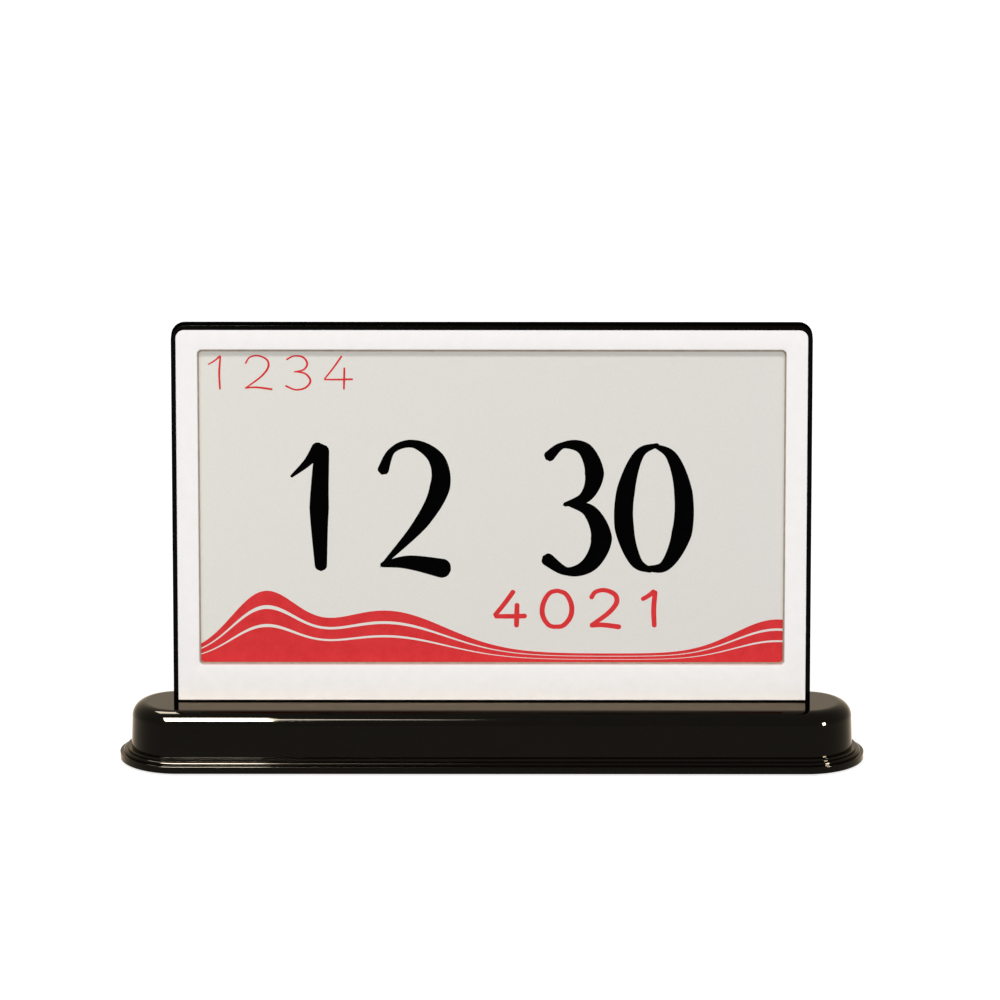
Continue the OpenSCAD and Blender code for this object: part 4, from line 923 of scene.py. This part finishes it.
# %% [markdown]
# A mirror-black base shows the lamps themselves, so each lamp has one task. The key lamp gives the
# light and the shadow and is kept out of reflections. The long softbox at front left is seen only
# as a reflection: the shoulder, the steps and the rim each draw it as a white line. A fainter sheet
# carries it on and tapers almost to a point at the right, where the line ends. A small strip at the
# right gives the dots on the right end, and one above and behind gives the short line at the left
# corner, where the panel doesn't hide it. These sheets are very bright, so light linking keeps them
# to the base and the frame, and nothing else mirrors them.

# %% Key lamp


def lamp_axes(azimuth, elevation):
    """The direction to a lamp, and right and down for someone who looks from there to the object:
    right is (cos a, sin a, 0) and down is right x away."""
    away = aim(azimuth, elevation)
    right = Vector((math.cos(math.radians(azimuth)), math.sin(math.radians(azimuth)), 0.0))
    return away, right, right.cross(away)


def key_lamp(name, azimuth, elevation, distance, width, height, radiance):
    """A rectangular lamp that lights and casts shadows but is in no reflection. Its power is
    radiance x pi x area."""
    lamp = bpy.data.lights.new(name, "AREA")
    lamp.shape, lamp.size, lamp.size_y = "RECTANGLE", width, height
    lamp.energy = radiance * math.pi * width * height
    obj = bpy.data.objects.new(name, lamp)
    away, _, _ = lamp_axes(azimuth, elevation)
    obj.location = CAMERA_TARGET + away * distance
    obj.rotation_euler = away.to_track_quat("Z", "Y").to_euler()
    obj.visible_glossy = False
    bpy.context.collection.objects.link(obj)
    print(name, "power", round(lamp.energy, 1), "W")


key_lamp("key_softbox", azimuth=0, elevation=54, distance=2.2, width=2.4, height=0.3,
         radiance=13.2)
key_lamp("front_fill", azimuth=0, elevation=8, distance=2.5, width=1.2, height=0.8, radiance=5.6)

# %% Softboxes seen in the gloss
SHOULDER = Vector((0.0, -12.0, 15.0)) * MM  # on the front shoulder, near its middle


def sheet(start, end, half):
    """The outline of a rectangular sheet from start to end, and half to either side."""
    return [(start, -half), (end, -half), (end, half), (start, half)]


def mirrored_lamp(name, azimuth, elevation, distance, outline, radiance):
    """A glowing sheet with the outline (right, down) in mm round a point that far from the
    shoulder. Only reflections in the pieces of the mirror collection show it."""
    away, right, down = lamp_axes(azimuth, elevation)
    middle = SHOULDER + away * distance
    corners = [middle + (right * u + down * v) * MM for u, v in outline]
    mesh = bpy.data.meshes.new(name)
    mesh.from_pydata(corners, [], [tuple(range(len(corners)))])
    obj = bpy.data.objects.new(name, mesh)
    bpy.context.collection.objects.link(obj)
    material = bpy.data.materials.new(name + "_cloth")
    material.use_nodes = True
    nodes = material.node_tree
    nodes.nodes.remove(nodes.nodes["Principled BSDF"])
    shine = add(nodes, "ShaderNodeEmission", Strength=radiance)
    nodes.links.new(shine.outputs[0], nodes.nodes["Material Output"].inputs["Surface"])
    mesh.materials.append(material)
    obj.visible_camera = obj.visible_diffuse = obj.visible_shadow = obj.visible_transmission = False
    obj.light_linking.receiver_collection = mirror
    print(name, "radiance", radiance, "at", distance, "m")


mirror = bpy.data.collections.new("mirror")
for part in (base, frame_piece):
    mirror.objects.link(part)
tail_edge = [(-89, 50), (-80, 28), (-46, 17), (-7, 3)]
tail = [(u, -v) for u, v in tail_edge] + tail_edge[::-1]
mirrored_lamp("long_softbox", azimuth=0, elevation=49.5, distance=0.6,
              outline=sheet(-420, -89, 150), radiance=420.0)
mirrored_lamp("softbox_tail", azimuth=0, elevation=49.5, distance=0.6, outline=tail,
              radiance=120.0)
mirrored_lamp("right_strip", azimuth=49, elevation=8, distance=1.0, outline=sheet(-60, 60, 150),
              radiance=500.0)
mirrored_lamp("rear_strip", azimuth=180, elevation=68, distance=0.8, outline=sheet(70, 420, 130),
              radiance=60.0)

# %% [markdown]
# The room is white for every ray that looks at it, so the ground of the picture is pure white. As
# a light it is dimmer, because full white from all sides would wash the shadows out.

# %% World
DIM, WHITE = 0.4, 1.0
world = bpy.data.worlds.new("white_room")
scene.world = world
world.use_nodes = True
tree = world.node_tree
strength = add(tree, "ShaderNodeMapRange", Value=looked_at(tree), To_Min=DIM, To_Max=WHITE)
background = tree.nodes["Background"]
background.inputs["Color"].default_value = (1, 1, 1, 1)
tree.links.new(strength.outputs[0], background.inputs["Strength"])
print("world strength", DIM, "for light and", WHITE, "for what is seen")
